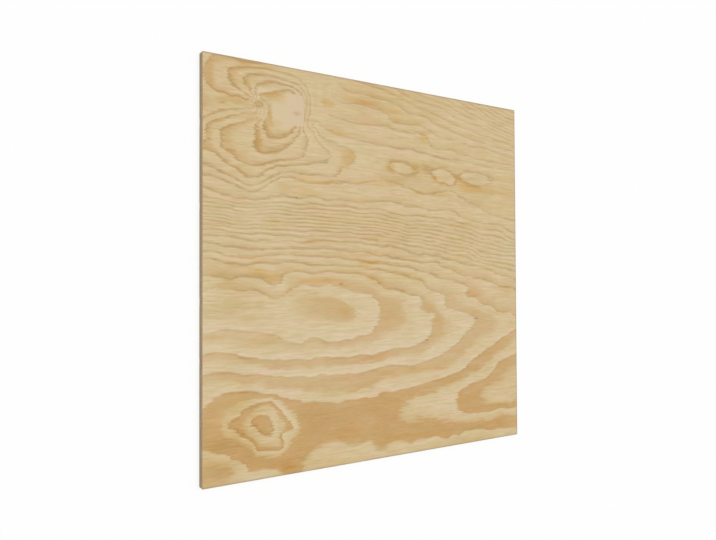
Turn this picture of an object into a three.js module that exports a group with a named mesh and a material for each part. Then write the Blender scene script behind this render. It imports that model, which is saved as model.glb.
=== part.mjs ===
// A square project panel of sanded softwood plywood, lying flat on its back veneer.
//
// Millimetres, +Z up. X runs along the grain of the face veneer and Y across it.
// The origin is the middle of the underside, so the panel stands on Z = 0.
//
// Plywood is an odd number of veneers, each glued with its grain across its neighbour's. The hot press
// makes them one piece, and the trim saw then cuts that piece square. So the panel is a single solid:
// its thickness is the stack of veneers, and its outline is the saw's, with the edges that the sander left.

import * as THREE from "three";

// Driving dimensions
const alongGrain = 609.6; // trimmed size in X: two feet
const acrossGrain = 609.6; // trimmed size in Y: two feet
const faceVeneer = 1.9; // face and back veneers, after both sides are sanded
const crossVeneer = 2.7; // crossbands, whose grain runs in Y
const centreVeneer = 2.7; // centre veneer, whose grain runs in X again
const arrisRadius = 0.6; // round that the sander leaves where a face meets an edge
const cornerRadius = 0.9; // round of each face corner, seen from above

// Smoothness of the rounds
const arrisSegments = 4; // facets in the quarter round of an arris
const cornerSegments = 6; // facets in the quarter round of a corner

// The veneers from the underside up: face grain and crossband take turns about the centre.
const veneers = [faceVeneer, crossVeneer, centreVeneer, crossVeneer, faceVeneer];
const thickness = veneers.reduce((total, veneer) => total + veneer, 0);

// The outline of one sanded face, which lies inside the sawn edges by the round of the arris.
function faceOutline() {
  const cornerX = alongGrain / 2 - arrisRadius - cornerRadius;
  const cornerY = acrossGrain / 2 - arrisRadius - cornerRadius;
  const cornerCentres = [
    [cornerX, cornerY],
    [-cornerX, cornerY],
    [-cornerX, -cornerY],
    [cornerX, -cornerY],
  ];
  const outline = new THREE.Shape();
  cornerCentres.forEach(([x, y], quarter) => {
    const start = (quarter * Math.PI) / 2;
    outline.absarc(x, y, cornerRadius, start, start + Math.PI / 2, false);
  });
  outline.closePath();
  return outline;
}

// The panel grows from one face outline to the other. Its bevel is a quarter round, so it swells out to
// the sawn edges, runs straight up them, and closes in again to the other face.
function panelGeometry() {
  const geometry = new THREE.ExtrudeGeometry(faceOutline(), {
    depth: thickness - 2 * arrisRadius,
    curveSegments: cornerSegments,
    bevelEnabled: true,
    bevelSize: arrisRadius,
    bevelThickness: arrisRadius,
    bevelSegments: arrisSegments,
  });
  geometry.translate(0, 0, arrisRadius);
  return geometry;
}

const sandedPine = new THREE.MeshStandardMaterial({
  name: "sanded_pine",
  color: 0xceb489,
  roughness: 0.62,
  metalness: 0,
});

const plywoodSheet = new THREE.Mesh(panelGeometry(), sandedPine);
plywoodSheet.name = "plywood_sheet";

const panel = new THREE.Group();
panel.name = "panel";
panel.add(plywoodSheet);

export default panel;
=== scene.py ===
# %% [markdown]
# # A sheet of sanded pine plywood
#
# The sheet lies flat on its back veneer. The imported model gives its size and place, and it is a plain
# solid: a square slab with sanded edges. Everything that makes it wood is made here. That is the figure
# of the face veneer, the five plies that show round the edge, the saw marks, and the plainer back.
#
# The frame is loaded first, because every size below comes from it. Its box is kept from straight after
# loading.

import math

import bpy
import numpy as np
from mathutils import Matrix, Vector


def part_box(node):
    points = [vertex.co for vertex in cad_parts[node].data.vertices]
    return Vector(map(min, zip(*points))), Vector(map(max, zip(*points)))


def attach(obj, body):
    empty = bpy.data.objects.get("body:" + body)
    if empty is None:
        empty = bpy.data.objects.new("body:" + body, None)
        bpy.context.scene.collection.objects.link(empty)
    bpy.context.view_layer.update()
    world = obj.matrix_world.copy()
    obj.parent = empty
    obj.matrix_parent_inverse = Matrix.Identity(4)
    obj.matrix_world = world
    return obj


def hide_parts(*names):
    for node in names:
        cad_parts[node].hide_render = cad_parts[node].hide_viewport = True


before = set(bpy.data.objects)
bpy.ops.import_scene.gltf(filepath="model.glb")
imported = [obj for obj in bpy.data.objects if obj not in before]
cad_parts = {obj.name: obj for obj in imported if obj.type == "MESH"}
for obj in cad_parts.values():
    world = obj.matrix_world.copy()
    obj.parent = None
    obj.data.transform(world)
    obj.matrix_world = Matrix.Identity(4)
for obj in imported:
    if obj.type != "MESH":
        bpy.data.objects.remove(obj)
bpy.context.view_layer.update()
low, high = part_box("plywood_sheet")
MM = 0.001  # metres in a millimetre
length_mm = (high.x - low.x) / MM
width_mm = (high.y - low.y) / MM
thickness_mm = (high.z - low.z) / MM
print(f"sheet: {length_mm:.1f} by {width_mm:.1f} by {thickness_mm:.1f} mm")

# %% [markdown]
# ## The growth rings as a map
#
# A face veneer is peeled from a turning log, as paper comes off a roll. The knife follows a nearly round
# path, while the tree's yearly rings swell and sink along the trunk and bulge round every branch. So the
# figure on the face is a contour map: each dark line is one year's ring, cut where the knife crossed it.
# Ovals are hills or hollows in the rings, close lines are slopes, and a knot is a steep pit.
#
# A wood texture node gives even stripes, and noise gives clouds, and neither has that order. Here the
# map is drawn as a surveyor draws one. Its contour lines and spot heights are listed, and a smooth
# surface is laid through them. Its height is the ring number, which rises by one a year.
#
# Each entry below is a ring number and points of that ring's line, in millimetres to the right of the
# face's upper left corner and down from it. A long line takes several entries. The first part is the
# upper right, where thin rings fall towards the right, over two long lines that run the whole way.

# %% Growth lines of the upper right
UPPER_RIGHT = [
    (-8, [(570, 6), (600, 13)]),
    (-7, [(550, 8), (570, 14), (600, 20)]),
    (-6, [(520, 4), (540, 12), (555, 18), (575, 23), (600, 27)]),
    (-5, [(500, 5), (520, 12), (535, 19), (550, 25), (570, 29), (600, 34)]),
    (-4, [(470, 5), (500, 14), (525, 22), (540, 28), (560, 33), (580, 37), (600, 41)]),
    (-3, [(420, 4), (450, 8), (480, 17), (510, 25), (530, 31), (545, 36), (560, 40), (580, 44), (600, 48)]),
    (-2, [(380, 5), (400, 9), (420, 11), (440, 14), (460, 20), (480, 27), (500, 32), (515, 34), (530, 39)]),
    (-2, [(545, 43), (560, 46), (580, 50), (600, 54)]),
    (-1, [(335, 4), (350, 10), (365, 14), (380, 17), (400, 19), (418, 20), (432, 22), (448, 28)]),
    (-1, [(460, 33), (475, 37), (500, 40), (520, 42), (540, 48), (555, 52), (575, 55), (600, 60)]),
    (0, [(300, 9), (320, 12), (345, 19), (360, 23), (375, 26), (392, 30), (410, 33), (425, 38), (440, 41)]),
    (0, [(458, 47), (475, 49), (495, 52), (510, 55), (530, 60), (550, 62), (570, 66), (604, 71)]),
    (1, [(214, 4), (222, 12), (232, 19), (245, 23), (270, 22), (300, 25), (320, 27), (340, 30), (350, 37)]),
    (1, [(365, 41), (385, 41), (400, 44), (418, 52), (430, 55), (445, 56), (455, 60), (470, 63)]),
    (1, [(485, 66), (500, 69), (520, 72), (540, 74), (560, 77), (604, 81)]),
    (2, [(200, 5), (205, 16), (208, 28), (214, 38), (226, 41), (250, 39), (275, 40), (290, 43), (305, 44)]),
    (2, [(316, 50), (325, 58), (345, 60), (365, 60), (385, 59), (395, 62), (415, 70), (430, 73)]),
    (2, [(450, 75), (470, 77), (490, 79), (520, 80), (540, 82), (560, 85), (580, 90), (604, 93)]),
    (3, [(186, 4), (190, 14), (194, 26), (194, 40), (194, 52), (202, 61), (217, 66), (240, 70), (260, 71)]),
    (3, [(280, 71), (300, 69), (320, 69), (350, 73), (380, 71), (396, 77), (403, 88), (415, 94)]),
    (3, [(440, 94), (455, 93), (465, 97), (484, 99), (500, 101)]),
    (3, [(520, 104), (540, 105), (560, 106), (580, 106), (604, 107)]),
    (4, [(178, 80), (190, 84), (205, 88), (215, 92), (235, 94), (250, 96), (270, 98), (300, 101)]),
    (4, [(325, 101), (350, 102), (375, 103), (395, 105), (412, 108), (430, 110), (450, 110), (465, 109)]),
    (4, [(480, 109), (505, 112), (530, 114), (560, 115), (580, 116), (604, 116)]),
]
print(f"the upper right is held by {sum(len(points) for _, points in UPPER_RIGHT)} points")

# %% [markdown]
# ## The swirl
#
# A branch pushed the rings aside by the upper left corner. They loop round the filled hole, close in on
# one another beside the pin knot, and run out to the left edge in long fingers. Farther off they
# straighten, and the last of them crosses the whole sheet under the eyes.

# %% Growth lines of the swirl
SWIRL = [
    (0, [(86, 52), (92, 46), (105, 42), (118, 38), (128, 35), (138, 34)]),
    (0, [(93, 88), (94, 98), (99, 108), (110, 111), (122, 109), (133, 104), (141, 97), (146, 91)]),
    (1, [(79, 42), (83, 33), (92, 29), (102, 26), (115, 25), (127, 27), (142, 29), (152, 34), (160, 44)]),
    (1, [(81, 92), (80, 105), (78, 117), (80, 130), (90, 135), (106, 132), (117, 130), (128, 125)]),
    (1, [(137, 118), (145, 110), (151, 101), (155, 92)]),
    (2, [(71, 44), (64, 38), (61, 30), (65, 23), (75, 19), (90, 17), (110, 17), (125, 19), (140, 21)]),
    (2, [(150, 23), (158, 29), (165, 40), (166, 52)]),
    (2, [(82, 83), (72, 86), (62, 90), (50, 95), (40, 99), (30, 104), (26, 112), (28, 122), (26, 128)]),
    (2, [(34, 136), (45, 141), (52, 149), (65, 153), (82, 154), (97, 151), (112, 146), (127, 142)]),
    (2, [(142, 140), (155, 136), (162, 126), (167, 112), (165, 100), (160, 90)]),
    (3, [(66, 53), (55, 48), (48, 43), (40, 36), (38, 26), (40, 18), (52, 13), (70, 10), (90, 8)]),
    (3, [(110, 8), (130, 9), (145, 11), (157, 17), (166, 26), (171, 38), (172, 52)]),
    (3, [(82, 72), (75, 78), (60, 79), (43, 84), (28, 91), (13, 96), (6, 104), (4, 112), (5, 120)]),
    (3, [(0, 137), (10, 139), (20, 143), (27, 149), (36, 156), (50, 161), (60, 168), (70, 172), (82, 171)]),
    (3, [(92, 166), (102, 158), (115, 152), (135, 149), (152, 147), (166, 145), (180, 141), (197, 139)]),
    (3, [(206, 134), (208, 125), (200, 117), (191, 111), (184, 103), (177, 93)]),
    (4, [(62, 60), (45, 58), (25, 55), (12, 50), (3, 40), (1, 25), (5, 13), (14, 4)]),
    (4, [(76, 65), (68, 70), (55, 73), (40, 75), (25, 79), (10, 87), (0, 92)]),
    (4, [(0, 159), (15, 163), (27, 169), (42, 174), (55, 179), (65, 183), (80, 183), (92, 178)]),
    (4, [(103, 171), (116, 165), (130, 161), (150, 161), (170, 161), (200, 160), (215, 159), (224, 152)]),
    (4, [(228, 146), (236, 140), (248, 134), (253, 124), (246, 114)]),
    (4, [(230, 109), (215, 105), (200, 102), (188, 96), (181, 88)]),
    (5, [(0, 174), (15, 175), (30, 179), (48, 184), (60, 190), (72, 193), (86, 191), (97, 183)]),
    (5, [(108, 175), (120, 168), (140, 167), (155, 171), (172, 173), (190, 172), (210, 169), (230, 168)]),
    (5, [(262, 166), (280, 162), (300, 160), (320, 160), (340, 163), (360, 167), (375, 172), (395, 175)]),
    (5, [(412, 173), (425, 169), (440, 166), (452, 166), (462, 170), (480, 178), (500, 185), (520, 192)]),
    (5, [(535, 199), (548, 203), (575, 206), (604, 210)]),
]
print(f"the swirl is held by {sum(len(points) for _, points in SWIRL)} points")

# %% [markdown]
# ## The close grain
#
# Across the middle the tree had slow years and the knife cut steeply through them, so the lines lie a
# few millimetres apart. Only some of them are drawn. The surface between two drawn lines rises evenly,
# so the rings between follow by themselves, with the same waves.

# %% Growth lines of the close grain
CLOSE_GRAIN = [
    (6, [(0, 191), (15, 196), (30, 200), (50, 204), (75, 205), (95, 202), (115, 198), (135, 197)]),
    (6, [(150, 199), (200, 198), (230, 196), (260, 197), (285, 195), (300, 193), (320, 192), (340, 195)]),
    (6, [(355, 199), (370, 198), (390, 199), (400, 202), (415, 202), (430, 200), (450, 199), (462, 204)]),
    (6, [(475, 210), (490, 213), (503, 215), (520, 218), (540, 219)]),
    (6, [(560, 220), (578, 223), (590, 229), (604, 233)]),
    (7, [(0, 205), (35, 208), (60, 211), (80, 211), (100, 208)]),
    (7, [(120, 205), (155, 207), (170, 205), (200, 207)]),
    (7, [(262, 208), (320, 210), (345, 214), (370, 213), (400, 215), (445, 217), (475, 221), (505, 226)]),
    (7, [(520, 229), (558, 230), (572, 233), (582, 238), (592, 243), (604, 246)]),
    (9, [(0, 217), (40, 219), (80, 220), (105, 217), (130, 218), (160, 219), (200, 218), (240, 219)]),
    (9, [(280, 220), (300, 221), (340, 226), (370, 228), (400, 229), (430, 230), (460, 233), (490, 237)]),
    (9, [(512, 244), (525, 248), (540, 248), (555, 250), (570, 253), (585, 256), (604, 258)]),
    (11, [(0, 228), (40, 231), (80, 231), (105, 229), (130, 229), (160, 228), (200, 230), (240, 232)]),
    (11, [(280, 232), (300, 233), (340, 237), (355, 241), (400, 241), (425, 244), (455, 249), (475, 251)]),
    (11, [(490, 254), (505, 257), (530, 261), (560, 267), (604, 269)]),
    (13, [(0, 237), (35, 239), (80, 240), (130, 240), (160, 241), (200, 240), (240, 240), (280, 241)]),
    (13, [(300, 242), (320, 246), (350, 250), (370, 252), (400, 256), (430, 259), (460, 263), (485, 264)]),
    (13, [(500, 268), (510, 274), (520, 278), (535, 281), (575, 284), (604, 286)]),
    (15, [(0, 251), (30, 251), (45, 253), (75, 255), (95, 253), (110, 255), (130, 254), (150, 256)]),
    (15, [(170, 254), (200, 253), (240, 254), (260, 255), (280, 257), (300, 259), (325, 259), (345, 262)]),
    (15, [(375, 265), (395, 267), (412, 269), (427, 271), (440, 275), (455, 278), (480, 280), (500, 286)]),
    (15, [(520, 290), (540, 293), (560, 297), (580, 300), (604, 305)]),
    (16, [(0, 258), (30, 258), (45, 260), (60, 262), (90, 264), (115, 265), (140, 263), (160, 265)]),
    (16, [(175, 262), (200, 260), (240, 261), (260, 262), (280, 264), (295, 265), (320, 265), (335, 268)]),
    (16, [(350, 272), (365, 277), (380, 279), (410, 280), (430, 284), (460, 287), (475, 292), (500, 295)]),
    (16, [(515, 298), (535, 302), (555, 308), (575, 314), (604, 321)]),
    (17, [(0, 268), (15, 270), (30, 274), (60, 276), (90, 277), (120, 275), (150, 274), (180, 274)]),
    (17, [(200, 273), (225, 275), (245, 278), (265, 276), (285, 279), (300, 283), (325, 285), (345, 288)]),
    (17, [(370, 290), (400, 291), (418, 291), (428, 297), (440, 301), (465, 309), (480, 314), (500, 317)]),
    (17, [(520, 319), (540, 324), (560, 330), (580, 335), (604, 338)]),
]
print(f"the close grain is held by {sum(len(points) for _, points in CLOSE_GRAIN)} points")

# %% [markdown]
# ## The great oval
#
# Here the knife just skimmed the top of a bulge in the rings. So they close into long ovals, one inside
# the other, with wide bands between them. Their right ends are steps, torn by the fibres, and their
# lower sides run on as the broad bands of the lower half.

# %% Growth lines of the great oval
GREAT_OVAL = [
    (18, [(0, 282), (20, 282), (35, 287), (55, 289), (75, 289), (90, 286), (120, 284), (150, 284)]),
    (18, [(180, 285), (205, 286), (225, 287), (245, 290), (265, 291), (285, 295), (305, 295), (330, 297)]),
    (18, [(355, 299), (370, 303), (385, 307), (405, 310), (418, 316), (435, 320), (455, 323), (475, 328)]),
    (18, [(488, 334), (484, 343), (492, 352), (512, 357), (528, 366)]),
    (18, [(548, 370), (556, 376), (575, 381), (604, 388)]),
    (19, [(0, 291), (15, 292), (30, 296), (50, 298), (80, 297), (100, 297), (125, 295), (150, 295)]),
    (19, [(175, 299), (200, 299), (225, 299), (260, 300), (290, 304), (305, 306), (330, 311), (350, 315)]),
    (19, [(365, 319), (385, 323), (395, 333), (405, 338), (425, 343), (437, 350), (434, 362), (440, 369)]),
    (19, [(455, 373), (470, 376), (488, 380), (503, 387), (504, 397), (495, 406), (486, 412), (477, 419)]),
    (19, [(463, 431), (450, 439), (434, 446), (420, 452), (400, 456), (380, 461), (360, 463), (340, 461)]),
    (19, [(320, 460), (300, 462), (280, 465), (240, 467), (215, 467), (190, 464), (160, 466), (140, 465)]),
    (19, [(120, 462), (100, 460), (85, 456), (70, 456), (50, 453), (30, 450), (0, 452)]),
    (20, [(0, 316), (20, 317), (40, 320), (60, 316), (78, 318), (92, 320), (102, 326), (112, 329)]),
    (20, [(120, 324), (128, 313), (140, 309), (160, 309), (200, 308), (230, 310), (260, 312), (275, 316)]),
    (20, [(289, 322), (299, 329), (310, 335), (325, 337), (338, 339), (352, 344), (378, 348), (386, 356)]),
    (20, [(382, 365), (387, 373), (400, 377), (413, 379), (408, 388), (406, 398), (409, 408), (404, 414)]),
    (20, [(394, 421), (382, 426), (368, 430), (352, 434), (338, 433), (324, 433), (310, 436), (295, 439)]),
    (20, [(280, 441), (240, 443), (220, 441), (200, 439), (180, 438), (160, 440), (140, 439), (120, 437)]),
    (20, [(105, 437), (90, 435), (70, 432), (55, 428), (35, 423), (20, 421), (0, 425)]),
    (21, [(0, 337), (20, 331), (40, 334), (60, 336), (75, 335), (90, 339), (102, 346), (118, 347)]),
    (21, [(130, 341), (145, 332), (160, 328), (200, 327), (225, 332), (245, 340), (262, 342), (283, 346)]),
    (21, [(293, 355), (299, 369), (296, 382), (292, 393), (284, 402), (270, 409), (245, 414), (222, 416)]),
    (21, [(200, 416), (155, 415), (135, 412), (120, 405), (100, 399)]),
    (21, [(80, 396), (60, 393), (45, 391), (20, 391), (0, 395)]),
]
print(f"the great oval is held by {sum(len(points) for _, points in GREAT_OVAL)} points")

# %% [markdown]
# ## The lower valley
#
# Under the oval the rings turn the other way: the map falls to a valley, and most of its floor is one
# wide summer band. A hook of paler wood opens to the right, and along the bottom the next ring comes
# back with a ragged upper edge.

# %% Growth lines of the lower valley
LOWER_VALLEY = [
    (18, [(604, 413), (590, 420), (575, 425), (560, 433), (550, 440), (535, 444), (525, 450), (515, 456)]),
    (18, [(505, 460), (495, 466), (485, 474), (470, 481), (450, 485), (430, 489), (400, 494), (380, 497)]),
    (18, [(360, 500), (340, 502), (300, 503), (270, 508), (240, 509), (200, 508), (175, 504), (155, 501)]),
    (18, [(140, 499), (125, 494), (115, 490), (100, 487), (90, 485), (80, 482)]),
    (18, [(60, 480), (40, 479), (25, 482), (15, 488), (2, 498)]),
    (17, [(604, 459), (590, 463), (575, 467), (565, 470), (555, 479), (545, 489), (531, 498), (516, 501)]),
    (17, [(500, 504), (488, 507), (476, 511), (467, 518), (461, 528), (459, 540), (464, 549), (475, 554)]),
    (17, [(490, 558), (510, 560), (530, 560), (550, 558), (570, 556), (604, 558)]),
    (18, [(158, 604), (164, 590), (180, 580), (200, 573), (220, 573), (240, 581), (262, 582), (280, 581)]),
    (18, [(287, 590), (295, 597), (308, 598), (318, 590), (335, 587), (350, 592), (360, 596), (375, 590)]),
    (18, [(400, 590), (415, 588), (425, 592), (440, 596), (455, 590), (465, 594), (478, 588), (500, 588)]),
    (18, [(520, 589), (540, 593), (560, 592), (580, 595), (604, 597)]),
    (18, [(0, 556), (20, 563), (40, 570), (58, 580), (68, 592)]),
    (18, [(76, 597), (95, 597), (114, 600), (122, 607)]),
]
print(f"the lower valley is held by {sum(len(points) for _, points in LOWER_VALLEY)} points")

# %% [markdown]
# ## The lower knot
#
# By the lower left corner a twig died young, and the rings healed over it. One jagged ring is left
# round its place, with a small core in the middle.

# %% Growth lines of the lower knot
LOWER_KNOT = [
    (17, [(85, 499), (100, 498), (108, 500), (115, 507), (122, 515), (128, 522), (133, 530), (141, 539)]),
    (17, [(133, 545), (123, 549), (122, 556), (126, 566), (118, 572), (105, 570), (92, 569), (82, 566)]),
    (17, [(77, 556), (70, 550), (60, 545), (52, 538), (43, 532)]),
    (17, [(38, 526), (45, 518), (55, 515), (60, 506), (70, 502)]),
    (16, [(75, 521), (85, 517), (98, 520), (105, 528), (109, 538)]),
    (16, [(106, 546), (98, 548), (88, 544), (82, 535)]),
]
GROWTH_LINES = UPPER_RIGHT + SWIRL + CLOSE_GRAIN + GREAT_OVAL + LOWER_VALLEY + LOWER_KNOT
print(f"{len({ring for ring, _ in GROWTH_LINES})} rings have a line of their own")

# %% [markdown]
# ## Heights between the lines
#
# A surveyor also notes the height of a summit or a hollow, which no contour shows. Here such a spot says
# how near the ground comes to the next ring. So it sets how far a summer band has come, and how wide
# the pale wood beside it is. Between two close lines it isn't needed.

# %% Spot heights
SPOT_HEIGHTS = [  # (right, down, ring number)
    # the top of the great oval, and its sides
    (142, 358, 21.66), (150, 350, 21.70), (165, 345, 21.70), (182, 346, 21.70), (198, 349, 21.70),
    (212, 352, 21.70), (226, 357, 21.70), (238, 363, 21.70), (246, 371, 21.70), (249, 377, 21.70),
    (240, 381, 21.70), (222, 383, 21.70), (204, 381, 21.68), (186, 378, 21.66), (168, 376, 21.64),
    (150, 372, 21.60), (165, 360, 21.70), (190, 363, 21.74), (215, 366, 21.80), (236, 373, 21.84),
    (165, 338, 21.35), (182, 339, 21.3), (198, 342, 21.3), (215, 345, 21.3), (230, 350, 21.3),
    (244, 357, 21.3), (254, 366, 21.3), (257, 378, 21.3), (245, 389, 21.3), (222, 391, 21.3),
    (200, 389, 21.32), (180, 387, 21.34), (160, 385, 21.36), (128, 362, 21.40), (110, 370, 21.3),
    (87, 370, 21.2), (44, 370, 21.2), (0, 370, 21.25), (200, 400, 21.2), (150, 395, 21.22),
    (270, 385, 21.2), (200, 335, 21.2), (135, 345, 21.3),
    # the bands under the oval, where they narrow
    (408, 434, 19.45), (396, 441, 19.42), (200, 428, 20.45), (230, 428, 20.45), (260, 424, 20.45),
    (290, 420, 20.45),
    # the oval's two steps down to the right
    (338, 352, 20.5), (345, 380, 20.62), (340, 399, 20.5), (345, 415, 20.22), (312, 424, 20.2),
    (362, 380, 20.2), (358, 402, 20.25), (357, 360, 20.2), (378, 400, 20.12), (425, 362, 19.15),
    (400, 366, 19.85), (425, 400, 19.75), (450, 400, 19.45), (480, 395, 19.12),
    # the ends of the rings at the right edge, above and below the oval's tip
    (502, 344, 17.9), (530, 343, 17.4), (570, 352, 17.3), (604, 358, 17.4), (520, 388, 18.93),
    (545, 393, 18.85), (520, 405, 18.85), (550, 405, 18.7), (600, 400, 18.55),
    # the row of eyes, where the ground all but reaches the next ring
    (437, 158, 4.6), (390, 157, 4.55), (350, 152, 4.6), (500, 158, 4.72), (545, 158, 4.7), (590, 155, 4.75),
    (437, 120, 4.55), (500, 117, 4.55), (385, 118, 4.4), (340, 114, 4.42), (280, 125, 4.35),
    (310, 114, 4.35), (280, 145, 4.5), (385, 137, 4.72), (468, 145, 4.85), (305, 133, 4.6),
    (565, 142, 4.68), (595, 142, 4.68),
    # the thin dark line that joins their tops, where the ground comes closest
    (378, 127, 4.97), (392, 127, 4.97), (404, 128, 4.97), (469, 133, 4.95), (560, 133, 4.93),
    (575, 132, 4.92), (592, 133, 4.92), (606, 133, 4.91), (500, 122, 4.72), (545, 122, 4.68),
    (460, 158, 4.75),
    # the middle of the two bands over the valley, where summer comes early
    (112, 474, 18.66), (126, 477, 18.64), (95, 470, 18.66), (60, 470, 18.5), (130, 483, 18.5),
    (165, 490, 18.5), (200, 492, 18.6), (240, 493, 18.64), (285, 491, 18.55), (330, 484, 18.5),
    (380, 480, 18.5), (420, 476, 18.5), (445, 470, 18.5), (130, 451, 19.68), (170, 451, 19.78),
    (200, 451, 19.72), (230, 453, 19.6), (300, 450, 19.6), (345, 447, 19.5), (380, 447, 19.55),
    (105, 448, 19.75),
    # the floor of the lower valley, falling to the right
    (239, 540, 17.85), (196, 544, 17.86), (283, 538, 17.84), (318, 534, 17.78), (338, 536, 17.42),
    (400, 532, 17.15), (372, 520, 17.35), (400, 509, 17.6), (435, 503, 17.55), (385, 550, 17.35),
    (435, 535, 17.08), (444, 520, 17.12), (544, 577, 17.5), (480, 574, 17.5), (435, 573, 17.55),
    (348, 572, 17.8), (590, 438, 17.6), (562, 450, 17.6), (535, 467, 17.55), (500, 484, 17.55),
    (470, 496, 17.5),
    # inside the hook
    (503, 534, 16.85), (500, 514, 16.8), (526, 527, 16.42), (552, 522, 16.25), (575, 522, 16.28),
    (600, 518, 16.3), (545, 506, 16.55), (562, 500, 16.6), (582, 497, 16.5), (600, 488, 16.5),
    (548, 541, 16.27), (570, 541, 16.22), (594, 541, 16.22),
    # the rise along the bottom edge
    (261, 604, 18.25), (196, 600, 18.2), (392, 605, 18.12), (566, 606, 18.1), (9, 600, 18.70),
    (35, 603, 18.65), (10, 581, 18.55), (35, 587, 18.50), (53, 602, 18.3),
    # the ground round the lower knot, and the pale halo just outside its ring
    (13, 530, 17.68), (45, 572, 17.92), (87, 590, 17.9), (131, 592, 17.95), (140, 605, 17.92),
    (170, 540, 17.86), (158, 512, 17.9), (28, 520, 17.47), (26, 540, 17.56), (46, 556, 17.62),
    (68, 572, 17.64), (8, 520, 17.60), (100, 581, 17.6), (132, 575, 17.58), (143, 568, 17.6),
    (148, 560, 17.6), (153, 538, 17.55), (143, 518, 17.6), (42, 504, 17.45), (62, 492, 17.5),
    (125, 502, 17.6),
    # inside the knot's ring, which is dark only along its line
    (90, 505, 16.5), (104, 505, 16.5), (92, 511, 16.2), (112, 514, 16.4), (119, 524, 16.45),
    (110, 520, 16.2), (54, 528, 16.65), (62, 536, 16.5), (70, 534, 16.2), (72, 518, 16.35), (64, 520, 16.5),
    (80, 550, 16.3), (86, 560, 16.5), (108, 564, 16.5), (100, 556, 16.15), (118, 558, 16.45),
    (113, 535, 16.15), (117, 546, 16.35), (131, 539, 16.6), (92, 534, 15.7),
    # under the filled hole, and the ridge that runs into the pin knot from the left edge
    (125, 68, -0.8), (140, 75, -0.8), (0, 72, 4.9), (30, 66, 4.9), (55, 64, 4.8), (70, 61, 4.4),
    # the ground beyond the swirl, up to the edge
    (182, 30, 3.25), (182, 50, 3.3), (188, 68, 3.4), (80, 2, 3.95), (60, 4, 3.85), (120, 2, 3.6),
    (160, 4, 3.5), (176, 6, 3.3), (226, 56, 2.6),
]
print(f"{len(SPOT_HEIGHTS)} spot heights")

# %% [markdown]
# ## The eyes
#
# Three small, pale eyes stand in a row, where the rings bulge over buds that never broke out. Each is
# one closed ring, pointed at both ends like an almond. An ellipse is too blunt for it, so its half
# height is drawn in towards the tips.

# %% Eyes
EYE_RISE = 0.2  # how far the ground rises inside an eye, in rings
POINTEDNESS = 0.35  # 0 is an ellipse, and more draws it in towards its tips
EYES = [  # (ring number, centre, half size right and down, lean)
    (5, (346, 134), (26, 9.5), 0.10),
    (5, (436, 140.5), (27, 12), 0.18),
    (5, (508, 138.5), (37, 11), 0.04),
]


def spots_on_almond(ring, centre, half_size, lean, count=14):
    """Spot heights round an almond, so that a closed ring needs only a few numbers."""
    turns = np.arange(count) * 2 * np.pi / count
    right = half_size[0] * np.cos(turns)
    down = half_size[1] * np.sin(turns) * np.abs(np.sin(turns)) ** POINTEDNESS + lean * right
    return [(centre[0] + x, centre[1] + y, ring) for x, y in zip(right, down)]


heights = [(x, y, ring) for ring, points in GROWTH_LINES for x, y in points] + SPOT_HEIGHTS
for ring, centre, half_size, lean in EYES:
    heights += spots_on_almond(ring, centre, half_size, lean)
    heights.append((*centre, ring + EYE_RISE))
heights = np.array(heights, float)
print(f"the map is held by {len(heights)} heights")

# %% [markdown]
# ## A smooth surface through the heights
#
# A thin plate spline is the shape that a springy sheet takes when it is pinned at each height. It is
# the sum of one round hump for each pin, r squared times log r, and a flat plane. The humps' strengths
# come from one set of linear equations, which numpy solves at once. A little softness lets the sheet
# miss a pin by a hair where two lines of the map disagree, so it doesn't buckle there.

# %% Fit the map
SOFTNESS = 2e-6
NEARLY_ZERO = 1e-12  # stands in for zero where a logarithm is taken
BATCH = 20000  # places that are read at a time, to spare memory


def humps(points, pins):
    """How much each pin's hump lifts each point, for places given as shares of the sheet's length."""
    squares = ((points[:, None] - pins[None]) ** 2).sum(2)
    return 0.5 * squares * np.log(np.maximum(squares, NEARLY_ZERO))


def fit_map(spots, values):
    """The strengths of the humps and of the plane under them. Pins are in the spots' first two columns."""
    pins = spots[:, :2] / length_mm
    count = len(pins)
    plane = np.column_stack([np.ones(count), pins])
    equations = np.zeros((count + 3, count + 3))
    equations[:count, :count] = humps(pins, pins) + SOFTNESS * np.eye(count)
    equations[:count, count:] = plane
    equations[count:, :count] = plane.T
    return np.linalg.solve(equations, np.concatenate([values, np.zeros(3)]))


def read_map(right_mm, down_mm, spots, strengths):
    """The height of a map at places on the face."""
    places = np.column_stack([right_mm, down_mm]) / length_mm
    pins = spots[:, :2] / length_mm
    result = np.empty(len(places))
    for start in range(0, len(places), BATCH):
        part = places[start : start + BATCH]
        plane = strengths[-3] + part @ strengths[-2:]
        result[start : start + BATCH] = humps(part, pins) @ strengths[:-3] + plane
    return result


ring_strengths = fit_map(heights, heights[:, 2])


def ring_number(right_mm, down_mm):
    """The height of the ring map at places on the face."""
    return read_map(right_mm, down_mm, heights, ring_strengths)


misses = np.abs(ring_number(heights[:, 0], heights[:, 1]) - heights[:, 2])
print(f"the surface misses its heights by {np.median(misses):.4f} rings at the median")
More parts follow.
